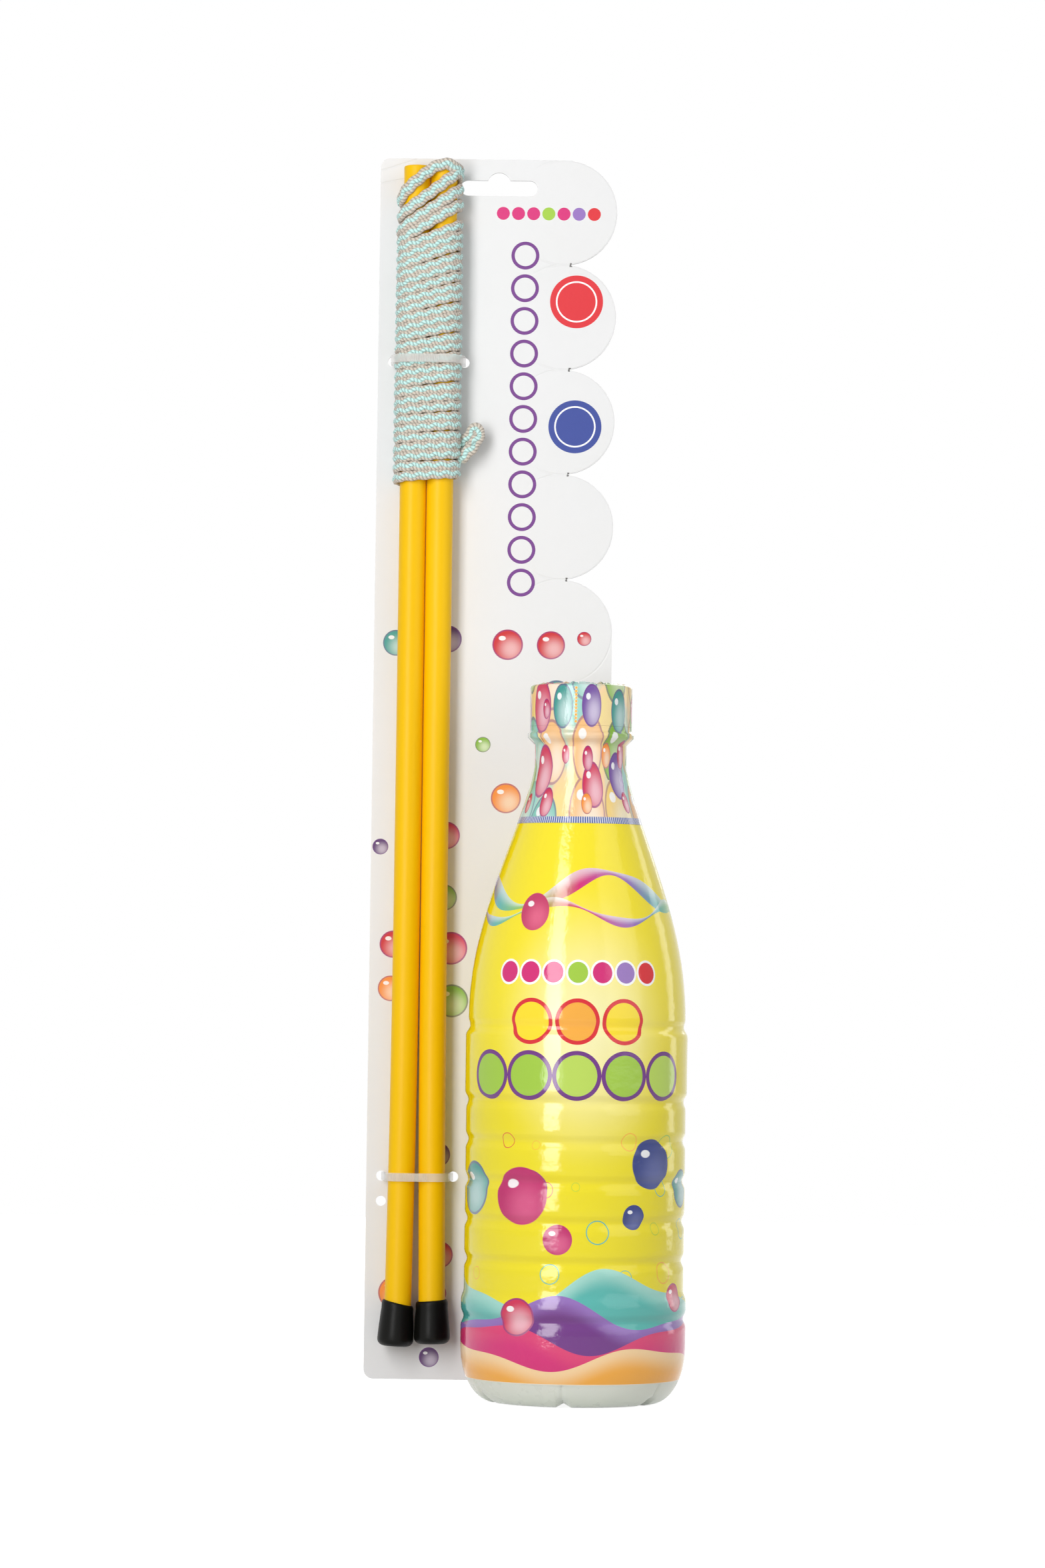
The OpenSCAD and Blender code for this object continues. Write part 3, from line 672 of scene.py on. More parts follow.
def sleeve_finish(colours):
    """Printed shrink film on the bottle's body, with painted shade low down and a painted highlight along
    its lower edge.
    """
    material, wiring, shader = finish("sleeve_film", IOR=1.5)
    spot = wiring.wrapped(FILM_RADIUS)
    from_glow = wiring.vector("SUBTRACT", spot, (4.0, 150.0, 0.0))
    from_glow = wiring.length(wiring.vector("MULTIPLY", from_glow, (1 / 44.0, 1 / 62.0, 0.0)))
    level = wiring.parts(spot)[1]
    # Painted shade: the film's yellow turns to the darker low yellow from 165 mm down to 110 mm, as if less
    # light falls low on the bottle.
    ground = wiring.mixed(wiring.ease(level, 165.0, 110.0), colours.film, colours.film_shaded_low)
    ground = wiring.mixed(wiring.ease(from_glow, 1.0, 0.0, 0.0, 0.85), ground, colours.glow)

    rings = wiring.group("Scattered balls", {"Vector": spot, "Cell": 17.0, "Least": 0.1, "Most": 0.3,
                                             "Share": 0.5, "Clear From": 112.0, "Clear To": 240.0,
                                             "Room": 0.95})
    line = wiring.ramp(rings["Pick"], [(0.0, TEAL), (0.3, RED), (0.5, LIME), (0.75, ORANGE)], "CONSTANT")
    print_now = wiring.mixed(rings["Outline"], ground, line)
    for height, swing, turn, deep, pale in (
            (47.0, 7.0, 0.4, TEAL, AQUA), (37.0, 6.0, 2.2, PURPLE, LILAC),
            (28.0, 5.0, 4.1, MAGENTA, PINK), (20.0, 4.0, 5.6, ORANGE, PEACH)):
        wave = wiring.group("Wave edge", {"Vector": spot, "Height": height, "Swing": swing,
                                          "Length": FILM_LENGTH / 3, "Turn": turn})
        print_now = paint_wave(wiring, print_now, wave, deep, pale)
    along = wiring.math("FRACT", wiring.over(wiring.parts(spot)[0], FILM_LENGTH / 3))
    sweep = wiring.ramp(along, [(0.0, MAGENTA), (0.3, LILAC), (0.5, TEAL), (0.72, LIME), (1.0, MAGENTA)])
    for height, swing, length, turn, width in ((206.0, 7.0, 3.0, 0.6, 4.2), (197.0, 4.0, 4.0, 2.6, 2.0)):
        ribbon = wiring.group("Ribbon", {"Vector": spot, "Height": height, "Swing": swing, "Turn": turn,
                                         "Length": FILM_LENGTH / length, "Width": width})
        tint = wiring.mixed(wiring.ease(ribbon["Across"], 0.2, 1.0, 0.0, 0.55), sweep, WHITE)
        print_now = wiring.mixed(ribbon["Mask"], print_now, tint)
    many = [MAGENTA, TEAL, ORANGE, LIME, RED, LILAC]
    for height, pitch, radius, rim_width, reach, fills, rim in (
            (173.0, 10.4, 4.2, 0.9, 36.0, many, WHITE),
            (153.5, 19.5, 7.6, 1.6, 30.0, [screen(255, 226, 30), ORANGE], RED),
            (132.0, 19.8, 8.2, 1.7, 42.0, [LIME, screen(190, 220, 90)], PURPLE)):
        row = wiring.group("Dot row", {"Vector": spot, "Height": height, "Pitch": pitch, "Radius": radius,
                                       "Rim": rim_width, "Reach": reach})
        print_now = paint_row(wiring, print_now, row, fills, rim)
    balls = wiring.group("Scattered balls", {"Vector": wiring.vector("ADD", spot, (311.0, 47.0, 0.0)),
                                             "Cell": 40.0, "Least": 0.14, "Most": 0.3, "Share": 0.6,
                                             "Clear From": 152.0, "Clear To": 900.0, "Room": 0.95})
    print_now = paint_balls(wiring, print_now, balls, [PINK, LILAC, LIME, TEAL])
    for across, up, radius, colour in ((-23.0, 84.0, 11.5, MAGENTA), (34.0, 97.0, 10.0, BLUE),
                                       (-7.0, 67.0, 6.0, MAGENTA), (25.0, 76.0, 5.0, BLUE),
                                       (-22.0, 197.0, 7.5, PINK), (71.0, 199.0, 7.0, LIME),
                                       (-96.0, 201.0, 6.5, LILAC)):
        print_now = paint_ball(wiring, print_now, spot, across, up, radius, colour)
    # Pale cream line along the film's lower edge: its clear unprinted margin, with a painted highlight on
    # the film's cut edge.
    bare_edge_with_highlight = wiring.ease(level, 9.95, 9.8)
    wiring.feed(shader["Base Color"], wiring.mixed(bare_edge_with_highlight, print_now, screen(246, 240, 222)))
    film_surface(wiring, shader, spot)
    return material


def seal_finish():
    """Printed shrink film on the neck and the closure."""
    material, wiring, shader = finish("seal_film", IOR=1.5)
    spot = wiring.wrapped(FILM_RADIUS)
    height = wiring.parts(spot)[1]
    drift = wiring.noise(spot, 0.03)
    ground = wiring.ramp(drift, [(0.36, AQUA), (0.47, PEACH), (0.6, SAND)])
    print_now = ground
    for shift, cell, least, most, share, colours in (
            ((120.0, 9.0, 0.0), 30.0, 0.42, 0.5, 1.0, [AQUA, PEACH, LIME, SAND]),
            ((72.0, 22.0, 0.0), 27.0, 0.32, 0.42, 0.9, [LILAC, PINK, LIME, LILAC, TEAL]),
            ((15.0, 64.0, 0.0), 19.0, 0.2, 0.32, 0.4, [PINK, MAGENTA, ORANGE])):
        balls = wiring.group("Scattered balls", {
            "Vector": wiring.vector("ADD", spot, shift), "Cell": cell, "Least": least, "Most": most,
            "Share": share, "Jitter": 0.25})
        print_now = paint_balls(wiring, print_now, balls, colours)
    tick = wiring.math("FRACT", wiring.over(wiring.parts(spot)[0], 1.7))
    tick = wiring.below(tick, 0.55)
    low = wiring.ease(height, 235.6, 235.2)
    strip = wiring.mixed(tick, screen(226, 226, 236), screen(52, 84, 160))
    print_now = wiring.mixed(low, print_now, strip)
    squeezed = wiring.times(wiring.parts(spot)[0], CAP_SQUEEZE)
    sideways = wiring.joined(wiring.minus(height, 280.5), squeezed)
    holes = wiring.group("Dot row", {"Vector": sideways, "Height": -2.2, "Pitch": 1.35, "Radius": 0.42,
                                     "Rim": 0.22, "Reach": 8.0})
    print_now = wiring.mixed(holes["Fill"], wiring.mixed(holes["Rim"], print_now, PEACH), ORANGE)
    wiring.feed(shader["Base Color"], print_now)
    film_surface(wiring, shader, spot)
    return material


def card_finish(colours):
    """Coated hang card with print on its face; its cut sides and the nicks at its scallops are painted dark
    grey, partly as painted shade.
    """
    material, wiring, shader = finish("printed_card", Coat_Weight=0.15, Coat_Roughness=0.3)
    here = wiring.parts(wiring.place())
    spot = wiring.joined(here[0], here[2])
    grain = wiring.group("Fine grain", {"Vector": wiring.place(), "Coarse": 0.02, "Fine": 0.8})
    board = wiring.mixed(grain["Tone"], colours.board, screen(232, 232, 231))
    balls = wiring.group("Scattered balls", {"Vector": wiring.vector("ADD", spot, (210.0, 30.0, 0.0)),
                                             "Cell": 21.0, "Least": 0.12, "Most": 0.36, "Share": 0.62,
                                             "Clear From": 352.0, "Clear To": 900.0, "Room": 0.95})
    ground = paint_balls(wiring, board, balls, [PINK, PURPLE, LIME, TEAL, ORANGE, RED])
    upright = wiring.joined(wiring.minus(here[2], 402.0), here[0])
    column = wiring.group("Dot row", {"Vector": upright, "Height": -25.5, "Pitch": 13.6, "Radius": 4.4,
                                      "Rim": 1.4, "Reach": 76.0})
    print_now = wiring.mixed(column["Rim"], ground, PURPLE)
    dots = wiring.group("Dot row", {"Vector": wiring.vector("ADD", spot, (16.0, 0.0, 0.0)), "Height": 487.5,
                                    "Pitch": 6.3, "Radius": 2.7, "Rim": 0.0, "Reach": 21.0})
    print_now = paint_row(wiring, print_now, dots, [MAGENTA, TEAL, ORANGE, LIME, RED, LILAC], WHITE)
    for up, colour in ((451.0, RED), (399.0, BLUE)):
        print_now = paint_disc(wiring, print_now, spot, -4.0, up, 11.0, colour)
    # Painted shade: the nicks at the scallop valleys are laid in dark grey, for the torn grey core and the
    # shade in the tear.
    print_now = wiring.mixed(nick_core_and_shade(wiring, here), print_now, screen(96, 94, 92))
    face = wiring.below(here[1], 1000 * CARD_LOW.y + 0.05)
    back = wiring.above(here[1], 1000 * CARD_HIGH.y - 0.05)
    # The card's cut sides are painted dark grey: the board's grey core, darkened further as painted shade
    # on the scallops' undersides.
    core_and_shade_edge = wiring.mixed(back, screen(132, 130, 127), board)
    wiring.feed(shader["Base Color"], wiring.mixed(face, core_and_shade_edge, print_now))
    vary_gloss(wiring, shader, grain, 0.41)
    wiring.feed(shader["Normal"], wiring.bumped(card_relief(wiring, here, grain["Height"]), 0.6, 0.0002))
    return material


def scallop_level(wiring, here):
    """Height above the middle of the scallop that lies at the same level."""
    low = SCALLOP_MIDDLE - 1.5 * SCALLOP_PITCH
    local = wiring.math("MODULO", wiring.minus(here[2], low), SCALLOP_PITCH)
    return wiring.minus(local, SCALLOP_PITCH / 2)


def nick_core_and_shade(wiring, here):
    """Mask of a frayed nick where two scallops meet: a short ragged tear, painted dark grey for the torn
    board's grey core and for painted shade inside the tear.
    """
    level = wiring.minus(SCALLOP_PITCH / 2, wiring.size(scallop_level(wiring, here)))
    wander = wiring.times(wiring.noise(wiring.place(), 1.1), 1.6)
    tear = wiring.minus(here[0], wiring.plus(wander, SCALLOP_X + NICK_OUT))
    tear = wiring.ease(wiring.size(tear), 0.55, 0.3)
    nick = wiring.times(tear, wiring.ease(level, 0.95, 0.65))
    nick = wiring.times(nick, wiring.ease(here[2], NICK_LOW, NICK_LOW + NICK_FADE))
    return wiring.times(nick, wiring.ease(here[2], NICK_HIGH, NICK_HIGH - NICK_FADE))


def card_relief(wiring, here, grain):
    """Height of the card's face: mottled coating, scored arcs and a few creases."""
    across = wiring.minus(here[0], SCALLOP_X)
    far = wiring.length(wiring.joined(across, scallop_level(wiring, here)))
    arc = wiring.ease(wiring.size(wiring.minus(far, SCALLOP_PITCH / 2)), 0.5, 0.1)
    arc = wiring.times(arc, wiring.ease(here[0], -26.0, -14.0))
    arc = wiring.times(arc, wiring.ease(here[2], 290.0, 300.0))
    height = wiring.minus(wiring.times(grain, 0.25), arc)
    for slope, level in ((0.33, 533.0), (0.2, 516.5)):
        line = wiring.times_plus(here[0], -slope, here[2])
        line = wiring.size(wiring.minus(line, level))
        line = wiring.times(wiring.ease(line, 0.5, 0.1), wiring.ease(here[0], -66.0, -72.0))
        height = wiring.minus(height, line)
    return height


def paint_finish(colour):
    """Satin paint on a wooden dowel, with the wood's grain faint under it."""
    material, wiring, shader = finish("stick_paint", Specular_IOR_Level=0.22)
    along = wiring.vector("MULTIPLY", wiring.place(), (1.0, 1.0, 0.03))
    grain = wiring.group("Fine grain", {"Vector": along, "Coarse": 0.12, "Fine": 1.6})
    darker = (colour[0] * 0.93, colour[1] * 0.87, colour[2] * 0.8, 1.0)
    wiring.feed(shader["Base Color"], wiring.mixed(grain["Tone"], darker, colour))
    vary_gloss(wiring, shader, grain, 0.41)
    wiring.feed(shader["Normal"], wiring.bumped(grain["Height"], 0.4, 0.0001))
    return material


def yarn_finish(name, colour):
    """Plied cotton yarn, whose plies run slantwise round a strand, with painted shade in the grooves
    between the plies.
    """
    material, wiring, shader = finish(name, Roughness=0.85, Sheen_Weight=0.35, Specular_IOR_Level=0.2)
    along = wiring.node("ShaderNodeTexCoord").outputs["UV"]
    spot = wiring.parts(along)
    twist = wiring.times_plus(spot[0], 1 / 1.5, wiring.times(spot[1], 2.0))
    ply = wiring.sine(wiring.times(twist, 2 * math.pi))
    ply = wiring.times_plus(ply, 0.5, 0.5)
    fibre = wiring.noise(wiring.place(), 2.6, 4.0)
    tone = wiring.times_plus(fibre, 0.5, wiring.times(ply, 0.5))
    # Painted shade: the yarn darkens to 0.42 of its colour along the grooves between the slanting plies,
    # mixed with random fibre tone.
    deep = faded(colour, 0.42)
    wiring.feed(shader["Base Color"], wiring.mixed(wiring.ease(tone, 0.1, 0.62), deep, colour))
    height = wiring.times_plus(fibre, 0.6, ply)
    wiring.feed(shader["Normal"], wiring.bumped(height, 0.8, 0.00022))
    return material


# Lines of the wand and its cord

STICK_TOP = RIGHT_HIGH.z
PATH_STEP = 0.0007
STRAND_SIDES = 7
LAP_LENGTH = 0.0668
TUCK = 0.25
TUCK_DEEP = 0.0022
LOOSE_CLIMB = (0.0, 5.8, 11.7, 18.1, 24.6)
LOOSE_SLANT = (0.0, 3.8, 5.8, 7.3, 7.3)
TOP_START, TOP_STEP = 3.7, 0.05
TOP_LINE = (-15.8, -15.2, -13.0, -10.4, -7.6, -4.9, -2.3, -0.4, 0.2, -0.6, -2.2, -3.9, -5.3, -6.6, -8.0,
            -9.4, -10.8)
LOOSE_SPREAD = 0.15
LOOSE_AFTER = 0.2
TURN_WAVES = ((0.24, 3.9, 0.0), (0.16, 8.7, 1.0))
SWING_WAVES = ((0.5, 0.031, 0.0), (0.4, 0.0132, 1.0))
ROLL_WAVES = ((0.22, 0.047, 0.0), (0.12, 0.0171, 2.0))


def lean_angle(sizes):
    """Angle by which each dowel leans out of the upright."""
    return math.asin((sizes.foot_half - sizes.top_half) / sizes.stick_length)


def half_gap(sizes, height):
    """Half the distance of the dowels' axes at a height."""
    return sizes.top_half + (STICK_TOP - height) * math.tan(lean_angle(sizes))


STICK_BOW = (7.12, 6.65, 6.12, 5.82, 5.67, 5.59, 5.56, 5.55, 5.55)
BOW_START = 0.02
BOW_STEP = 0.04
SLIDE_UP = 0.022
DRAWN_FROM, DRAWN_OVER = 3.5, 2.5


def stick_half(height):
    """Half the distance of the bowed dowels' axes at a height: they close up above the lower tie."""
    place = clamped((height - BOW_START) / BOW_STEP / (len(STICK_BOW) - 1)) * (len(STICK_BOW) - 1)
    return along_list(STICK_BOW, place) * MM


def along_list(values, place):
    """Value at a place between the entries of a list, on a smooth line through them."""
    last = len(values) - 1
    place = min(max(place, 0.0), last)
    index = min(int(place), last - 1)
    share = place - index
    before, first = values[max(index - 1, 0)], values[index]
    second, after = values[index + 1], values[min(index + 2, last)]
    return 0.5 * (2 * first + (second - before) * share
                  + (2 * before - 5 * first + 4 * second - after) * share ** 2
                  + (3 * first - before - 3 * second + after) * share ** 3)


def turn_height(cord, turn):
    """Height of the winding's middle at a turn."""
    tight = min(turn, cord.tight_turns)
    loose = max(0.0, turn - cord.tight_turns)
    waver = sum(size * math.sin(rate * turn + start) for size, rate, start in TURN_WAVES)
    return cord.first_turn + tight * cord.tight_pitch + (along_list(LOOSE_CLIMB, loose) + waver) * MM


def turn_slant(cord, turn):
    """Half the slant of the winding across the wand at a turn."""
    share = min(max(0.0, turn) / cord.tight_turns, 1.0)
    loose = max(0.0, turn - cord.tight_turns)
    return 0.5 * (cord.tight_rise * share ** 1.6 + along_list(LOOSE_SLANT, loose) * MM)


def lap_place(half, radius, share):
    """Place and outward direction on a lap round both dowels, from the front's middle to the right."""
    arc = math.pi * radius
    far = (share % 1.0) * (4 * half + 2 * arc)
    if far <= half:
        return far, -radius, 0.0, -1.0
    far -= half
    if far <= arc:
        angle = far / radius - math.pi / 2
        return half + radius * math.cos(angle), radius * math.sin(angle), math.cos(angle), math.sin(angle)
    far -= arc
    if far <= 2 * half:
        return half - far, radius, 0.0, 1.0
    far -= 2 * half
    if far <= arc:
        angle = far / radius + math.pi / 2
        return radius * math.cos(angle) - half, radius * math.sin(angle), math.cos(angle), math.sin(angle)
    return far - arc - half, -radius, 0.0, -1.0


def winding_path(wand, cord):
    """Points of the winding in even steps, their outward directions and the cord's spread there."""
    first, last = -0.5, cord.tight_turns + TOP_START + (len(TOP_LINE) - 1) * TOP_STEP
    count = round((last - first) * LAP_LENGTH / PATH_STEP)
    points, outward, spread = [], [], []
    for index in range(count + 1):
        turn = first + (last - first) * index / count
        height = turn_height(cord, turn)
        half = half_gap(wand, height)
        tuck = max(0.0, TUCK - (turn - first), TUCK - (last - turn)) / TUCK
        radius = cord.lap - TUCK_DEEP * tuck ** 3
        across, deep, out_x, out_y = lap_place(half, radius, turn)
        height += turn_slant(cord, turn) * across / (half + radius)
        past = (turn - cord.tight_turns - TOP_START) / TOP_STEP
        share = clamped(past / 2)
        height += (STICK_TOP + along_list(TOP_LINE, past) * MM - height) * share
        points.append(Vector((WAND_X + across, WAND_Y + deep, height)))
        outward.append(Vector((out_x, out_y, 0.0)))
        spread.append(1 + LOOSE_SPREAD * clamped(turn - cord.tight_turns - LOOSE_AFTER))
    return points, outward, spread


BIGHT_LINE = ((-2.0, 4.6, -7.4, 1.0), (-1.5, 2.2, -7.2, 0.9), (-0.5, 0.0, -6.6, 0.3),
              (2.5, -0.6, -3.9, 0.0), (4.8, -0.8, -0.9, 0.0), (6.5, -0.6, 2.3, 0.0), (6.9, 0.0, 4.9, 0.0),
              (5.7, 0.6, 5.8, 0.0), (4.2, 1.2, 4.6, 0.0), (2.3, 1.7, 2.0, 0.0), (0.0, 2.2, -0.3, 0.3),
              (-1.5, 3.2, -1.5, 0.9), (-2.0, 5.2, -2.0, 1.0))
BIGHT_STEPS = 8


def bight_path():
    """Points of the doubled cord end at the winding's right, their outward directions and the spread."""
    middle = (BIGHT_LOW.z + BIGHT_HIGH.z) / 2
    points, outward = [], []
    for index in range((len(BIGHT_LINE) - 1) * BIGHT_STEPS + 1):
        across, deep, up, aside = (along_list(column, index / BIGHT_STEPS) for column in zip(*BIGHT_LINE))
        points.append(Vector((BIGHT_LOW.x + across * MM, WAND_Y + deep * MM, middle + up * MM)))
        outward.append(Vector((aside, aside - 1.0, 0.0)).normalized())
    return points, outward, [1 + 1.4 * LOOSE_SPREAD] * len(points)


def unit_steps(points):
    """Direction of a line at each of its points."""
    last = len(points) - 1
    return [(points[min(i + 1, last)] - points[max(i - 1, 0)]).normalized() for i in range(last + 1)]


def uneven(waves, place):
    """Sum of a few waves (size, length, start) at a place."""
    return sum(size * math.sin(place / length + start) for size, length, start in waves)


def strand_line(way, cord, track):
    """Middle line of one strand: its share across and out of the cord, swinging along it."""
    points, outward, spread = way
    across, out, phase, sway = track
    along = unit_steps(points)
    line = []
    travelled = 0.0
    for index, point in enumerate(points):
        if index:
            travelled += (point - points[index - 1]).length
        wander = uneven(SWING_WAVES, travelled)
        roll = uneven(ROLL_WAVES, travelled)
        swing = sway * cord.swing * math.sin(2 * math.pi * travelled / cord.stitch + phase + wander)
        beside = along[index].cross(outward[index]).normalized()
        side = (across + swing) * spread[index]
        line.append(point + beside * (side * math.cos(roll) - out * math.sin(roll))
                    + outward[index] * (out * math.cos(roll) + side * math.sin(roll)))
    return line


def strand_mesh(line, radii, first_vert):
    """Vertices, faces and map places of a tube along a line."""
    verts, faces, places = [], [], []
    along = unit_steps(line)
    travelled = [0.0]
    for near, far in zip(line, line[1:]):
        travelled.append(travelled[-1] + (far - near).length)
    for point, ahead, radius in zip(line, along, radii):
        flat = ahead.cross(Vector((0, 0, 1))).normalized()
        up = flat.cross(ahead)
        for side in range(STRAND_SIDES):
            angle = 2 * math.pi * side / STRAND_SIDES
            verts.append(point + radius * (math.cos(angle) * flat + math.sin(angle) * up))
    for ring in range(len(line) - 1):
        low, high = first_vert + ring * STRAND_SIDES, first_vert + (ring + 1) * STRAND_SIDES
        near, far = travelled[ring] / MM, travelled[ring + 1] / MM
        for side in range(STRAND_SIDES):
            after = (side + 1) % STRAND_SIDES
            faces.append((low + side, low + after, high + after, high + side))
            here, there = side / STRAND_SIDES, (side + 1) / STRAND_SIDES
            places.append(((near, here), (near, there), (far, there), (far, here)))
    ends = (tuple(reversed(range(first_vert, first_vert + STRAND_SIDES))),
            tuple(range(first_vert + len(verts) - STRAND_SIDES, first_vert + len(verts))))
    for end in ends:
        faces.append(end)
        places.append(tuple((0.0, 0.0) for _ in end))
    return verts, faces, places


def knitted(name, way, cord, tracks, materials):
    """A cord of knitted strands along a path with its outward directions and spread."""
    verts, faces, places, finishes = [], [], [], []
    for across, out, phase, sway, radius, which in tracks:
        line = strand_line(way, cord, (across, out, phase, sway))
        radii = [radius * spread for spread in way[2]]
        more_verts, more_faces, more_places = strand_mesh(line, radii, len(verts))
        verts += more_verts
        faces += more_faces
        places += more_places
        finishes += [which] * len(more_faces)
    mesh = bpy.data.meshes.new(name)
    mesh.from_pydata(verts, [], faces)
    layer = mesh.uv_layers.new(name="Strand")
    layer.data.foreach_set("uv", [value for face in places for place in face for value in place])
    for material in materials:
        mesh.materials.append(material)
    mesh.polygons.foreach_set("material_index", finishes)
    mesh.polygons.foreach_set("use_smooth", [True] * len(faces))
    mesh.update()
    piece = bpy.data.objects.new(name, mesh)
    bpy.context.scene.collection.objects.link(piece)
    return piece


# Operators


SENSOR_HIGH = 36.0
SIGHT = 20.0


class WANDPACK_OT_camera(Operator):
    """Sets up the camera at the photograph's viewing angle"""

    bl_idname = "wandpack.camera"
    bl_label = "Camera"

    def execute(self, context):
        stage = context.scene.wand_stage
        deselect()
        bpy.ops.object.camera_add()
        camera = context.object
        ahead = Vector((math.sin(stage.yaw) * math.cos(stage.pitch),
                        math.cos(stage.yaw) * math.cos(stage.pitch), math.sin(stage.pitch)))
        right = Vector((math.cos(stage.yaw), -math.sin(stage.yaw), 0.0))
        up = right.cross(ahead)
        turned_right = right * math.cos(stage.roll) + up * math.sin(stage.roll)
        turned_up = up * math.cos(stage.roll) - right * math.sin(stage.roll)
        turn = Matrix((turned_right, turned_up, -ahead)).transposed()
        camera.matrix_world = Matrix.Translation(stage.camera_place) @ turn.to_4x4()
        camera.data.sensor_fit = "VERTICAL"
        camera.data.sensor_height = SENSOR_HIGH
        camera.data.lens = stage.lens
        camera.data.clip_end = SIGHT
        context.scene.camera = camera
        return {"FINISHED"}


class WANDPACK_OT_cord(Operator):
    """Winds the knitted cord round the sticks and adds its doubled end"""

    bl_idname = "wandpack.cord"
    bl_label = "Cord"

    def execute(self, context):
        cord, wand = context.scene.wand_cord, context.scene.wand_sizes
        yarns = [yarn_finish("blue_yarn", tuple(cord.blue)), yarn_finish("beige_yarn", tuple(cord.beige))]
        edge = cord.width / 2 - 0.8 * cord.outer_strand
        tracks = [(0.0, 0.46 * MM, 0.0, 1.0, cord.middle_strand, 0),
                  (edge, -0.1 * MM, 0.5, 0.4, cord.outer_strand, 1),
                  (-edge, -0.1 * MM, -0.4, 0.4, cord.outer_strand, 1)]
        way = winding_path(wand, cord)
        winding = knitted("wound_cord", way, cord, tracks, yarns)
        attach(winding, "wand")
        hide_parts("cord_winding")
        way = bight_path()
        end = knitted("cord_end", way, cord, tracks, yarns)
        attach(end, "wand")
        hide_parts("cord_bight")
        return {"FINISHED"}


class WANDPACK_OT_sticks(Operator):
    """Turns the two painted dowels"""

    bl_idname = "wandpack.sticks"
    bl_label = "Sticks"

    def execute(self, context):
        sizes = context.scene.wand_sizes
        length = sizes.stick_length
        deselect()
        bpy.ops.mesh.primitive_cylinder_add(vertices=72, radius=sizes.stick_diameter / 2, depth=length,
                                            location=(0, 0, -length / 2))
        left = context.object
        left.name = "left_dowel"
        settle(left)
        select_edges(left, lambda a, b: abs(a.z - b.z) < 0.1 * MM)
        bpy.ops.mesh.bevel(offset=sizes.stick_edge, segments=4, affect="EDGES")
        leave()
        select_edges(left, lambda a, b: abs(a.z - b.z) > length / 2)
        bpy.ops.mesh.subdivide(number_cuts=48)
        leave()
        smooth(left)
        dress(left, paint_finish(tuple(sizes.paint)))
        right = copy_of(left, "right_dowel")
        for piece, side, node in ((left, -1, "left_stick"), (right, 1, "right_stick")):
            piece.location = (WAND_X, WAND_Y, STICK_TOP)
            settle(piece)
            for vert in piece.data.vertices:
                vert.co.x += side * stick_half(vert.co.z)
            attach(piece, "wand")
            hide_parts(node)
        return {"FINISHED"}


class WANDPACK_OT_tips(Operator):
    """Turns the two rubber tips"""

    bl_idname = "wandpack.tips"
    bl_label = "Tips"

    def execute(self, context):
        sizes = context.scene.wand_sizes
        wide, rim, high = sizes.tip_diameter / 2, sizes.tip_rim / 2, sizes.tip_height
        bore = sizes.stick_diameter / 2 + 0.1 * MM
        edge = 2.8 * MM
        foot = [(wide - edge + edge * math.sin(a * math.pi / 16), edge - edge * math.cos(a * math.pi / 16))
                for a in range(9)]
        mouth = [(rim + 0.12 * MM, high - 1.6 * MM), (rim, high - 0.7 * MM),
                 (rim - 0.25 * MM, high - 0.2 * MM), (rim - 0.6 * MM, high), (bore + 0.15 * MM, high),
                 (bore, high - 0.2 * MM)]
        flare = [(wide + (rim - wide) * share ** 1.3, edge + (high - edge - 2 * MM) * share)
                 for share in (0.15, 0.3, 0.45, 0.6, 0.75, 0.9)]
        profile = [(0.0, 0.0)] + foot + flare + mouth + [(bore, sizes.tip_end), (0.0, sizes.tip_end)]
        left = turned("left_ferrule", profile, 72)
        smooth(left, 50)
        dress(left, plain_finish("tip_rubber", tuple(sizes.rubber), 0.3, 0.36, 0.1, 1.6, 0.00006,
                                 Specular_IOR_Level=0.12))
        right = copy_of(left, "right_ferrule")
        for piece, side, node, mouth_up, tilt, slant in (
                (left, -1, "left_tip", 36.4, 3.2, 10.0), (right, 1, "right_tip", 37.5, -1.0, -3.8)):
            for vert in piece.data.vertices:
                near_mouth = clamped(vert.co.z / high * 1.6 - 0.6)
                vert.co.z -= vert.co.x * math.tan(math.radians(slant)) * near_mouth
            mouth = Vector((WAND_X + side * stick_half(mouth_up * MM), WAND_Y, mouth_up * MM))
            piece.matrix_world = (Matrix.Translation(mouth) @ Matrix.Rotation(math.radians(tilt), 4, "Y")
                                  @ Matrix.Translation((0.0, 0.0, -high)))
            settle(piece)
            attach(piece, "wand")
            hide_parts(node)
        return {"FINISHED"}


class WANDPACK_OT_card(Operator):
    """Prints the hang card"""

    bl_idname = "wandpack.card"
    bl_label = "Card"

    def execute(self, context):
        dress(NODES["backing_card"], card_finish(context.scene.wand_print))
        return {"FINISHED"}


TOOTH_SIZE = (0.34 * MM, 0.36 * MM, 2.7 * MM)
TOOTH_EDGE = 0.1 * MM
TOOTH_PITCH = 0.72 * MM
TOOTH_SINK = 0.06 * MM
TOOTH_FIRST, TOOTH_LAST = -16, 6


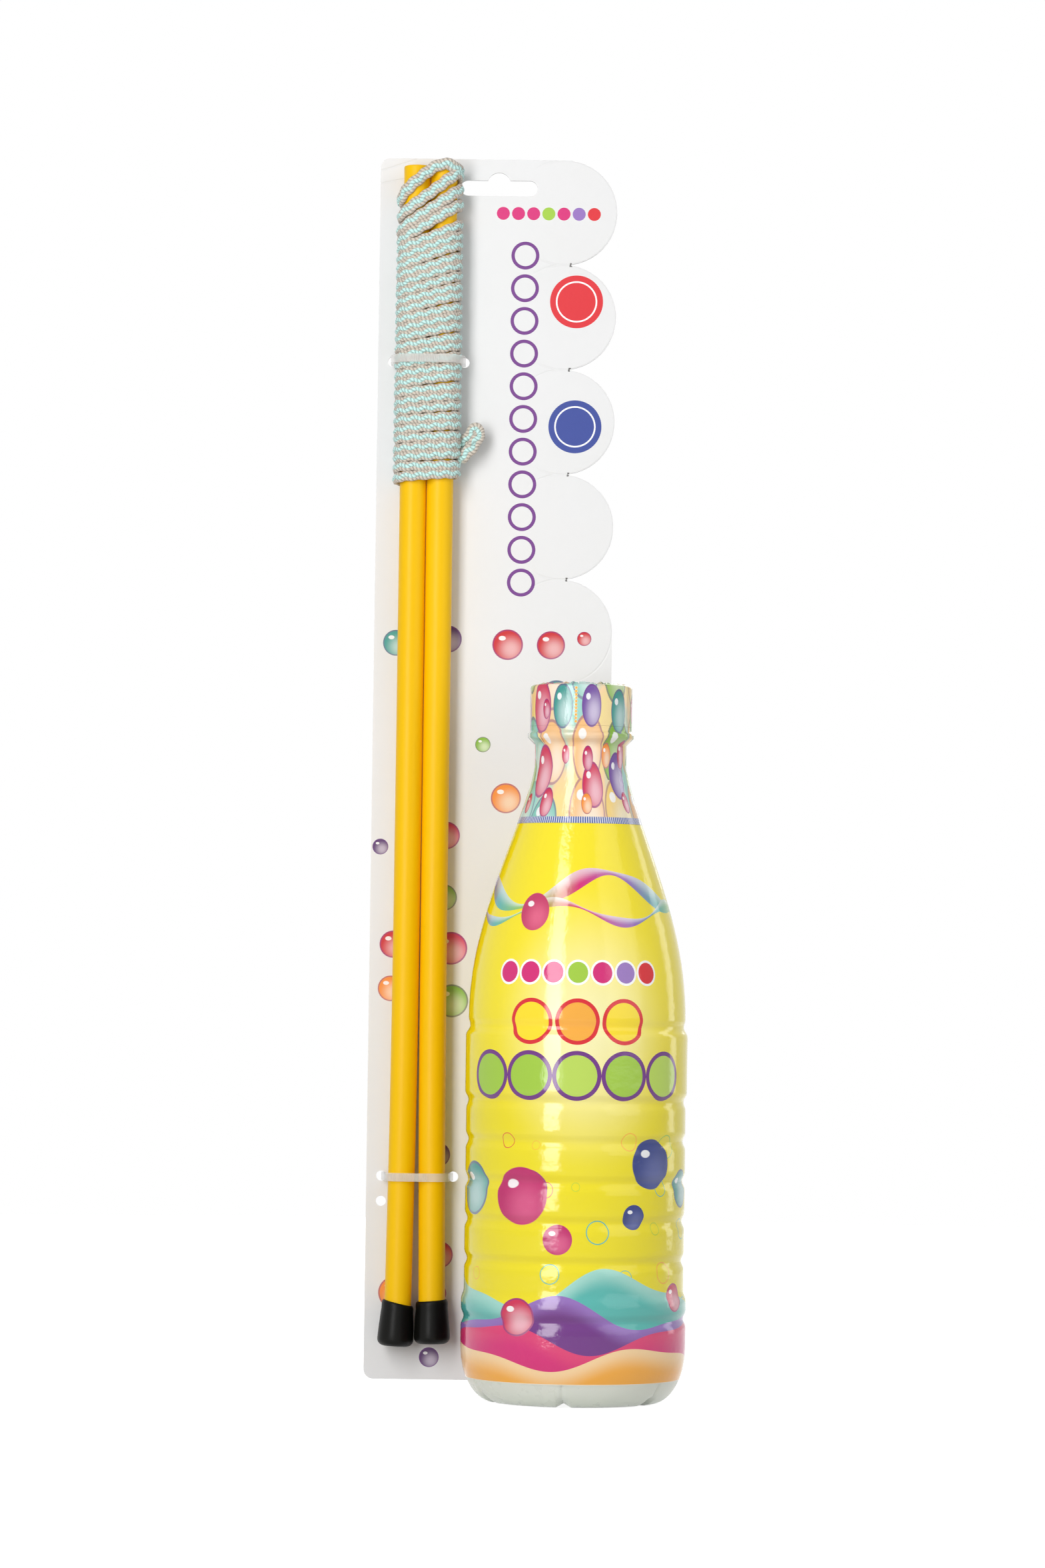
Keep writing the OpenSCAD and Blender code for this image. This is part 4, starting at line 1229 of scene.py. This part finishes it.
class WANDPACK_OT_ties(Operator):
    """Finishes the cable ties and adds the teeth along their straps"""

    bl_idname = "wandpack.ties"
    bl_label = "Ties"

    def execute(self, context):
        nylon = plain_finish("tie_nylon", tuple(context.scene.wand_print.nylon), 0.06, 0.35, 0.15, 1.5,
                             0.0001, 0.3, Alpha=0.36, IOR=1.4)
        sizes = context.scene.wand_sizes
        for node, name, strap in (("upper_tie", "upper_teeth", NODES["upper_tie"]),
                                  ("lower_tie", "lower_teeth", self.drawn_in(sizes))):
            dress(strap, nylon)
            low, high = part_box(node)
            middle = (low.z + high.z) / 2
            half, reach = half_gap(sizes, middle), WAND_Y - low.y
            if node == "lower_tie":
                half = stick_half(middle - SLIDE_UP)
            deselect()
            bpy.ops.mesh.primitive_cube_add(size=1, location=(0, 0, 0))
            tooth = context.object
            tooth.scale = TOOTH_SIZE
            settle(tooth)
            select_edges(tooth, lambda a, b: a.y < 0 and b.y < 0)
            bpy.ops.mesh.bevel(offset=TOOTH_EDGE, segments=2, affect="EDGES")
            leave()
            teeth = []
            for index in range(TOOTH_FIRST, TOOTH_LAST + 1):
                along = index * TOOTH_PITCH
                tooth_copy = copy_of(tooth, f"tooth_{index - TOOTH_FIRST}")
                if along >= -half:
                    tooth_copy.location = (WAND_X + along, low.y + TOOTH_SINK, middle)
                else:
                    angle = (-half - along) / reach
                    out = reach - TOOTH_SINK
                    tooth_copy.location = (WAND_X - half - out * math.sin(angle),
                                           WAND_Y - out * math.cos(angle), middle)
                    tooth_copy.rotation_euler = (0.0, 0.0, -angle)
                settle(tooth_copy)
                teeth.append(tooth_copy)
            bpy.data.objects.remove(tooth)
            only(teeth[0])
            for tooth_copy in teeth:
                tooth_copy.select_set(True)
            bpy.ops.object.join()
            row = context.object
            row.name = name
            dress(row, nylon)
            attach(row, "pack")
        return {"FINISHED"}

    def drawn_in(self, sizes):
        """The lower tie, drawn in as far as the dowels close up in it, also when the wand is slid up."""
        strap = merged_copy("lower_tie", "lower_strap")
        middle = sum(corner.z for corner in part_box("lower_tie")) / 2
        slack = half_gap(sizes, middle) - stick_half(middle - SLIDE_UP)
        for vert in strap.data.vertices:
            aside = vert.co.x - WAND_X
            vert.co.x -= math.copysign(slack * clamped((abs(aside) / MM - DRAWN_FROM) / DRAWN_OVER), aside)
        smooth(strap, 30)
        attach(strap, "pack")
        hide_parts("lower_tie")
        return strap


def shrunk(piece, size, depth, material):
    """Lets a film sink a little here and there, then gives it its thickness and its print."""
    texture = bpy.data.textures.new(f"{piece.name}_ripple", "CLOUDS")
    texture.noise_scale = size
    apply_modifier(piece, "DISPLACE", texture=texture, texture_coords="LOCAL", strength=depth,
                   mid_level=1.0)
    apply_modifier(piece, "SOLIDIFY", thickness=0.1 * MM, offset=-1.0)
    smooth(piece, 55)
    dress(piece, material)


class WANDPACK_OT_films(Operator):
    """Shrinks the printed films on the bottle, its neck and its closure"""

    bl_idname = "wandpack.films"
    bl_label = "Films"

    def execute(self, context):
        sleeve = turned("printed_sleeve", outline("body_sleeve", 2.2 * MM), 144)
        shrunk(sleeve, 0.03, 0.2 * MM, sleeve_finish(context.scene.wand_print))
        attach(sleeve, "pack")
        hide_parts("body_sleeve")

        seal = seal_finish()
        line = outline("neck_seal", 1.6 * MM)
        line[-1] = (line[-1][0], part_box("cap_seal")[0].z - 0.05 * MM)
        neck = turned("printed_neck_film", line, 120)
        shrunk(neck, 0.012, 0.16 * MM, seal)
        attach(neck, "pack")
        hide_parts("neck_seal")

        low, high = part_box("cap_seal")
        wide = high.x
        rim = 1.2 * MM
        side = [(wide, low.z + (high.z - low.z - rim) * step / 9) for step in range(10)]
        edge = [(wide - rim + rim * math.cos(a * math.pi / 8),
                 high.z - rim + rim * math.sin(a * math.pi / 8)) for a in range(1, 5)]
        top = [(wide - rim - reach * MM, high.z) for reach in (1.2, 2.4, 3.5, 4.5)]
        cap = turned("printed_cap_film", side + edge + top, 120)
        inner = wide - 3.0 * MM
        select_verts(cap, lambda place: math.hypot(place.x, place.y) < inner)
        bpy.ops.transform.translate(value=(0.0, 0.0, 0.35 * MM))
        bpy.ops.transform.vertex_random(offset=0.9 * MM, uniform=0.2, seed=4)
        leave()
        shrunk(cap, 0.012, 0.16 * MM, seal)
        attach(cap, "cap")
        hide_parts("cap_seal")
        return {"FINISHED"}


# The bottle's foot, in millimetres

FOOT_IN = 27.5
FOOT_OUT = 32.5
HEEL_WIDE = 12.8
HEEL_HIGH = 22.0
HEEL_CUT = 10.4
BASE_THICK = 2.0
WALL_THICK = 0.8
PUNT_HIGH = 5.0
NOTCH_TURN = math.radians(-96.0)
NOTCH_STEP = math.radians(60.0)
NOTCH_DEEP = 1.75
NOTCH_HALF = 3.1
NOTCH_TOP = 4.6
NOTCH_FADE = 3.0
CREASE_DEEP = 0.5
CREASE_HALF = 1.3
CREASE_TOP = 10.0
SKIN = 0.3


def heel_line(foot, low, count):
    """Points (radius, height) up a rounded heel, as far as the film covers it."""
    high = HEEL_HIGH - low
    last = math.acos(1 - (HEEL_CUT - low) / high)
    turns = [last * step / count for step in range(count + 1)]
    return [(foot + HEEL_WIDE * math.sin(turn), low + high * (1 - math.cos(turn))) for turn in turns]


def foot_line():
    """Closed outline of the bottle's foot: under it, up the heel and back along its inside."""
    punt = [(FOOT_IN * step / 8, PUNT_HIGH * (1 - (step / 8) ** 2)) for step in range(9)]
    ring = [(FOOT_IN + step, 0.0) for step in (1.0, 2.0, 3.0, 4.0)]
    outside = heel_line(FOOT_OUT, 0.0, 26)
    inside = heel_line(FOOT_OUT - WALL_THICK, BASE_THICK, 10)
    base = [(radius, height + BASE_THICK) for radius, height in punt]
    line = punt + ring + outside + inside[::-1] + base[::-1]
    return [(radius * MM, height * MM) for radius, height in line]


def press_notches(foot):
    """Presses the vent notches into the foot, each with a crease that runs up the heel from it."""
    for vert in foot.data.vertices:
        across, deep, height = vert.co / MM
        radius = math.hypot(across, deep)
        out = max(0.0, radius - FOOT_OUT) / HEEL_WIDE
        heel = HEEL_HIGH * (1 - math.sqrt(max(0.0, 1 - out * out)))
        if radius < FOOT_IN - 1.0 or height > heel + SKIN:
            continue
        turn = math.atan2(deep, across) - NOTCH_TURN + NOTCH_STEP / 2
        aside = abs(turn % NOTCH_STEP - NOTCH_STEP / 2) * radius
        notch = NOTCH_DEEP * clamped(1 - aside / NOTCH_HALF) * clamped((NOTCH_TOP - height) / NOTCH_FADE)
        crease = CREASE_DEEP * clamped(1 - aside / CREASE_HALF) * clamped(CREASE_TOP - height) * (out > 0)
        slope = Vector((out / HEEL_WIDE, (height - HEEL_HIGH) / HEEL_HIGH ** 2)).normalized()
        press = max(notch, crease)
        inward = 1 - slope.x * press / radius
        vert.co = Vector((across * inward, deep * inward, height - slope.y * press)) * MM


class WANDPACK_OT_bottle(Operator):
    """Finishes the bottle, its closure, its liquid and the pads behind it"""

    bl_idname = "wandpack.bottle"
    bl_label = "Bottle"

    def execute(self, context):
        colours = context.scene.wand_print
        bottle = merged_copy("bottle", "milky_bottle")
        edit()
        bpy.ops.mesh.select_all(action="SELECT")
        bpy.ops.mesh.bisect(plane_co=(0, 0, HEEL_CUT * MM), plane_no=(0, 0, 1), use_fill=True,
                            clear_inner=True)
        leave()
        foot = turned("bottle_foot", foot_line(), 480)
        press_notches(foot)
        only(bottle)
        foot.select_set(True)
        bpy.ops.object.join()
        smooth(bottle, 35)
        dress(bottle, plain_finish("bottle_plastic", tuple(colours.bottle), 0.015, 0.3, 0.04, 0.25, 0.00002,
                                   Subsurface_Weight=0.5, Subsurface_Radius=(1.0, 1.0, 0.9),
                                   Subsurface_Scale=0.004))
        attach(bottle, "pack")
        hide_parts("bottle")
        dress(NODES["soap_solution"], plain_finish(
            "solution", screen(232, 240, 236), 0.05, 0.12, 0.03, 0.3, 0.00005,
            Transmission_Weight=0.9, IOR=1.34))
        closure = plain_finish("cap_plastic", tuple(colours.closure), 0.05, 0.36, 0.08, 1.2, 0.00008)
        dress(NODES["screw_cap"], closure)
        dress(NODES["tamper_ring"], closure)
        dress(NODES["cap_liner"], plain_finish("liner_foam", screen(232, 230, 222), 0.1, 0.7, 0.3, 3.0,
                                               0.0001))
        foam = plain_finish("pad_foam", screen(238, 236, 228), 0.14, 0.85, 0.4, 2.4, 0.0003)
        dress(NODES["upper_pad"], foam)
        dress(NODES["lower_pad"], foam)
        return {"FINISHED"}


LAMP_AIM = Vector((-0.02, 0.0, 0.25))


class WANDPACK_OT_stage(Operator):
    """Lays the pale floor and hangs the lamps"""

    bl_idname = "wandpack.stage"
    bl_label = "Stage"

    def execute(self, context):
        stage = context.scene.wand_stage
        deselect()
        bpy.ops.mesh.primitive_circle_add(vertices=96, radius=1.6, fill_type="NGON",
                                          location=(0, 0, -0.3 * MM))
        floor = context.object
        floor.name = "studio_floor"
        settle(floor)
        dress(floor, self.floor_finish())
        self.lamp("key_box", -24.6, 12.0, 1.5, 0.46, 1.5, stage.key)
        self.lamp("fill_box", 52.0, 18.0, 1.7, 1.2, 1.4, stage.fill)
        self.lamp("rim_box", 118.0, 10.0, 1.4, 0.3, 1.2, 0.4 * stage.fill)
        self.lamp("back_box", 175.0, 25.0, 1.8, 1.4, 1.2, 1.6 * stage.fill)
        self.room(context, stage.ambient)
        return {"FINISHED"}

    def lamp(self, name, azimuth, elevation, far, wide, high, power):
        """A soft box that looks at the object's middle."""
        turn, tilt = math.radians(azimuth), math.radians(elevation)
        away = Vector((math.sin(turn) * math.cos(tilt), -math.cos(turn) * math.cos(tilt), math.sin(tilt)))
        deselect()
        bpy.ops.object.light_add(type="AREA", location=LAMP_AIM + away * far)
        box = bpy.context.object
        box.name = name
        box.rotation_euler = away.to_track_quat("Z", "Y").to_euler()
        box.data.shape = "RECTANGLE"
        box.data.size = wide
        box.data.size_y = high
        box.data.energy = power

    def seen(self, wiring):
        """One where a ray shows the background itself."""
        path = wiring.node("ShaderNodeLightPath").outputs
        shown = wiring.most(path["Is Camera Ray"], path["Is Glossy Ray"])
        return wiring.most(shown, path["Is Transmission Ray"])

    def floor_finish(self):
        """Pale floor that shows white with a soft shadow."""
        material = bpy.data.materials.new("studio_floor")
        wiring = blank(material)
        seen = self.seen(wiring)
        matt = wiring.node("ShaderNodeBsdfDiffuse", {"Color": wiring.ease(seen, 0.0, 1.0, 0.62, 0.5)})
        light = wiring.node("ShaderNodeEmission", {"Color": WHITE})
        wiring.feed(light.inputs["Strength"], wiring.times(seen, 0.88))
        both = wiring.node("ShaderNodeAddShader", {0: matt.outputs[0], 1: light.outputs[0]})
        wiring.node("ShaderNodeOutputMaterial", {"Surface": both.outputs[0]})
        return material

    def room(self, context, ambient):
        """White room whose light on the object is gentle."""
        world = bpy.data.worlds.new("studio_room")
        context.scene.world = world
        wiring = blank(world)
        strength = wiring.ease(self.seen(wiring), 0.0, 1.0, ambient, 1.0)
        glow = wiring.node("ShaderNodeBackground", {"Color": WHITE, "Strength": strength})
        wiring.node("ShaderNodeOutputWorld", {"Surface": glow.outputs[0]})


OPERATORS = (WANDPACK_OT_camera, WANDPACK_OT_cord, WANDPACK_OT_sticks, WANDPACK_OT_tips, WANDPACK_OT_card,
             WANDPACK_OT_ties, WANDPACK_OT_films, WANDPACK_OT_bottle, WANDPACK_OT_stage)
GROUPS = {"wand_sizes": WandSizes, "wand_cord": CordSizes, "wand_print": PrintColours,
          "wand_stage": StageSettings}


class WANDPACK_PT_pieces(Panel):
    """Lists what the pack is built from"""

    bl_label = "Bubble wand pack"
    bl_space_type = "VIEW_3D"
    bl_region_type = "UI"
    bl_category = "Wand pack"

    def draw(self, context):
        for operator in OPERATORS:
            self.layout.operator(operator.bl_idname)


def register():
    """Registers the settings, the operators and the panel."""
    for name, group in GROUPS.items():
        bpy.utils.register_class(group)
        setattr(bpy.types.Scene, name, PointerProperty(type=group))
    for operator in OPERATORS:
        bpy.utils.register_class(operator)
    bpy.utils.register_class(WANDPACK_PT_pieces)


def unregister():
    """Removes what register added."""
    bpy.utils.unregister_class(WANDPACK_PT_pieces)
    for operator in reversed(OPERATORS):
        bpy.utils.unregister_class(operator)
    for name, group in GROUPS.items():
        delattr(bpy.types.Scene, name)
        bpy.utils.unregister_class(group)


def main():
    """Builds the pack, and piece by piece."""
    register()
    make_groups()
    bpy.context.scene.view_settings.view_transform = "Standard"
    bpy.ops.wandpack.camera()
    bpy.ops.wandpack.cord()
    bpy.ops.wandpack.sticks()
    bpy.ops.wandpack.tips()
    bpy.ops.wandpack.card()
    bpy.ops.wandpack.ties()
    bpy.ops.wandpack.films()
    bpy.ops.wandpack.bottle()
    bpy.ops.wandpack.stage()


if __name__ == "__main__":
    main()
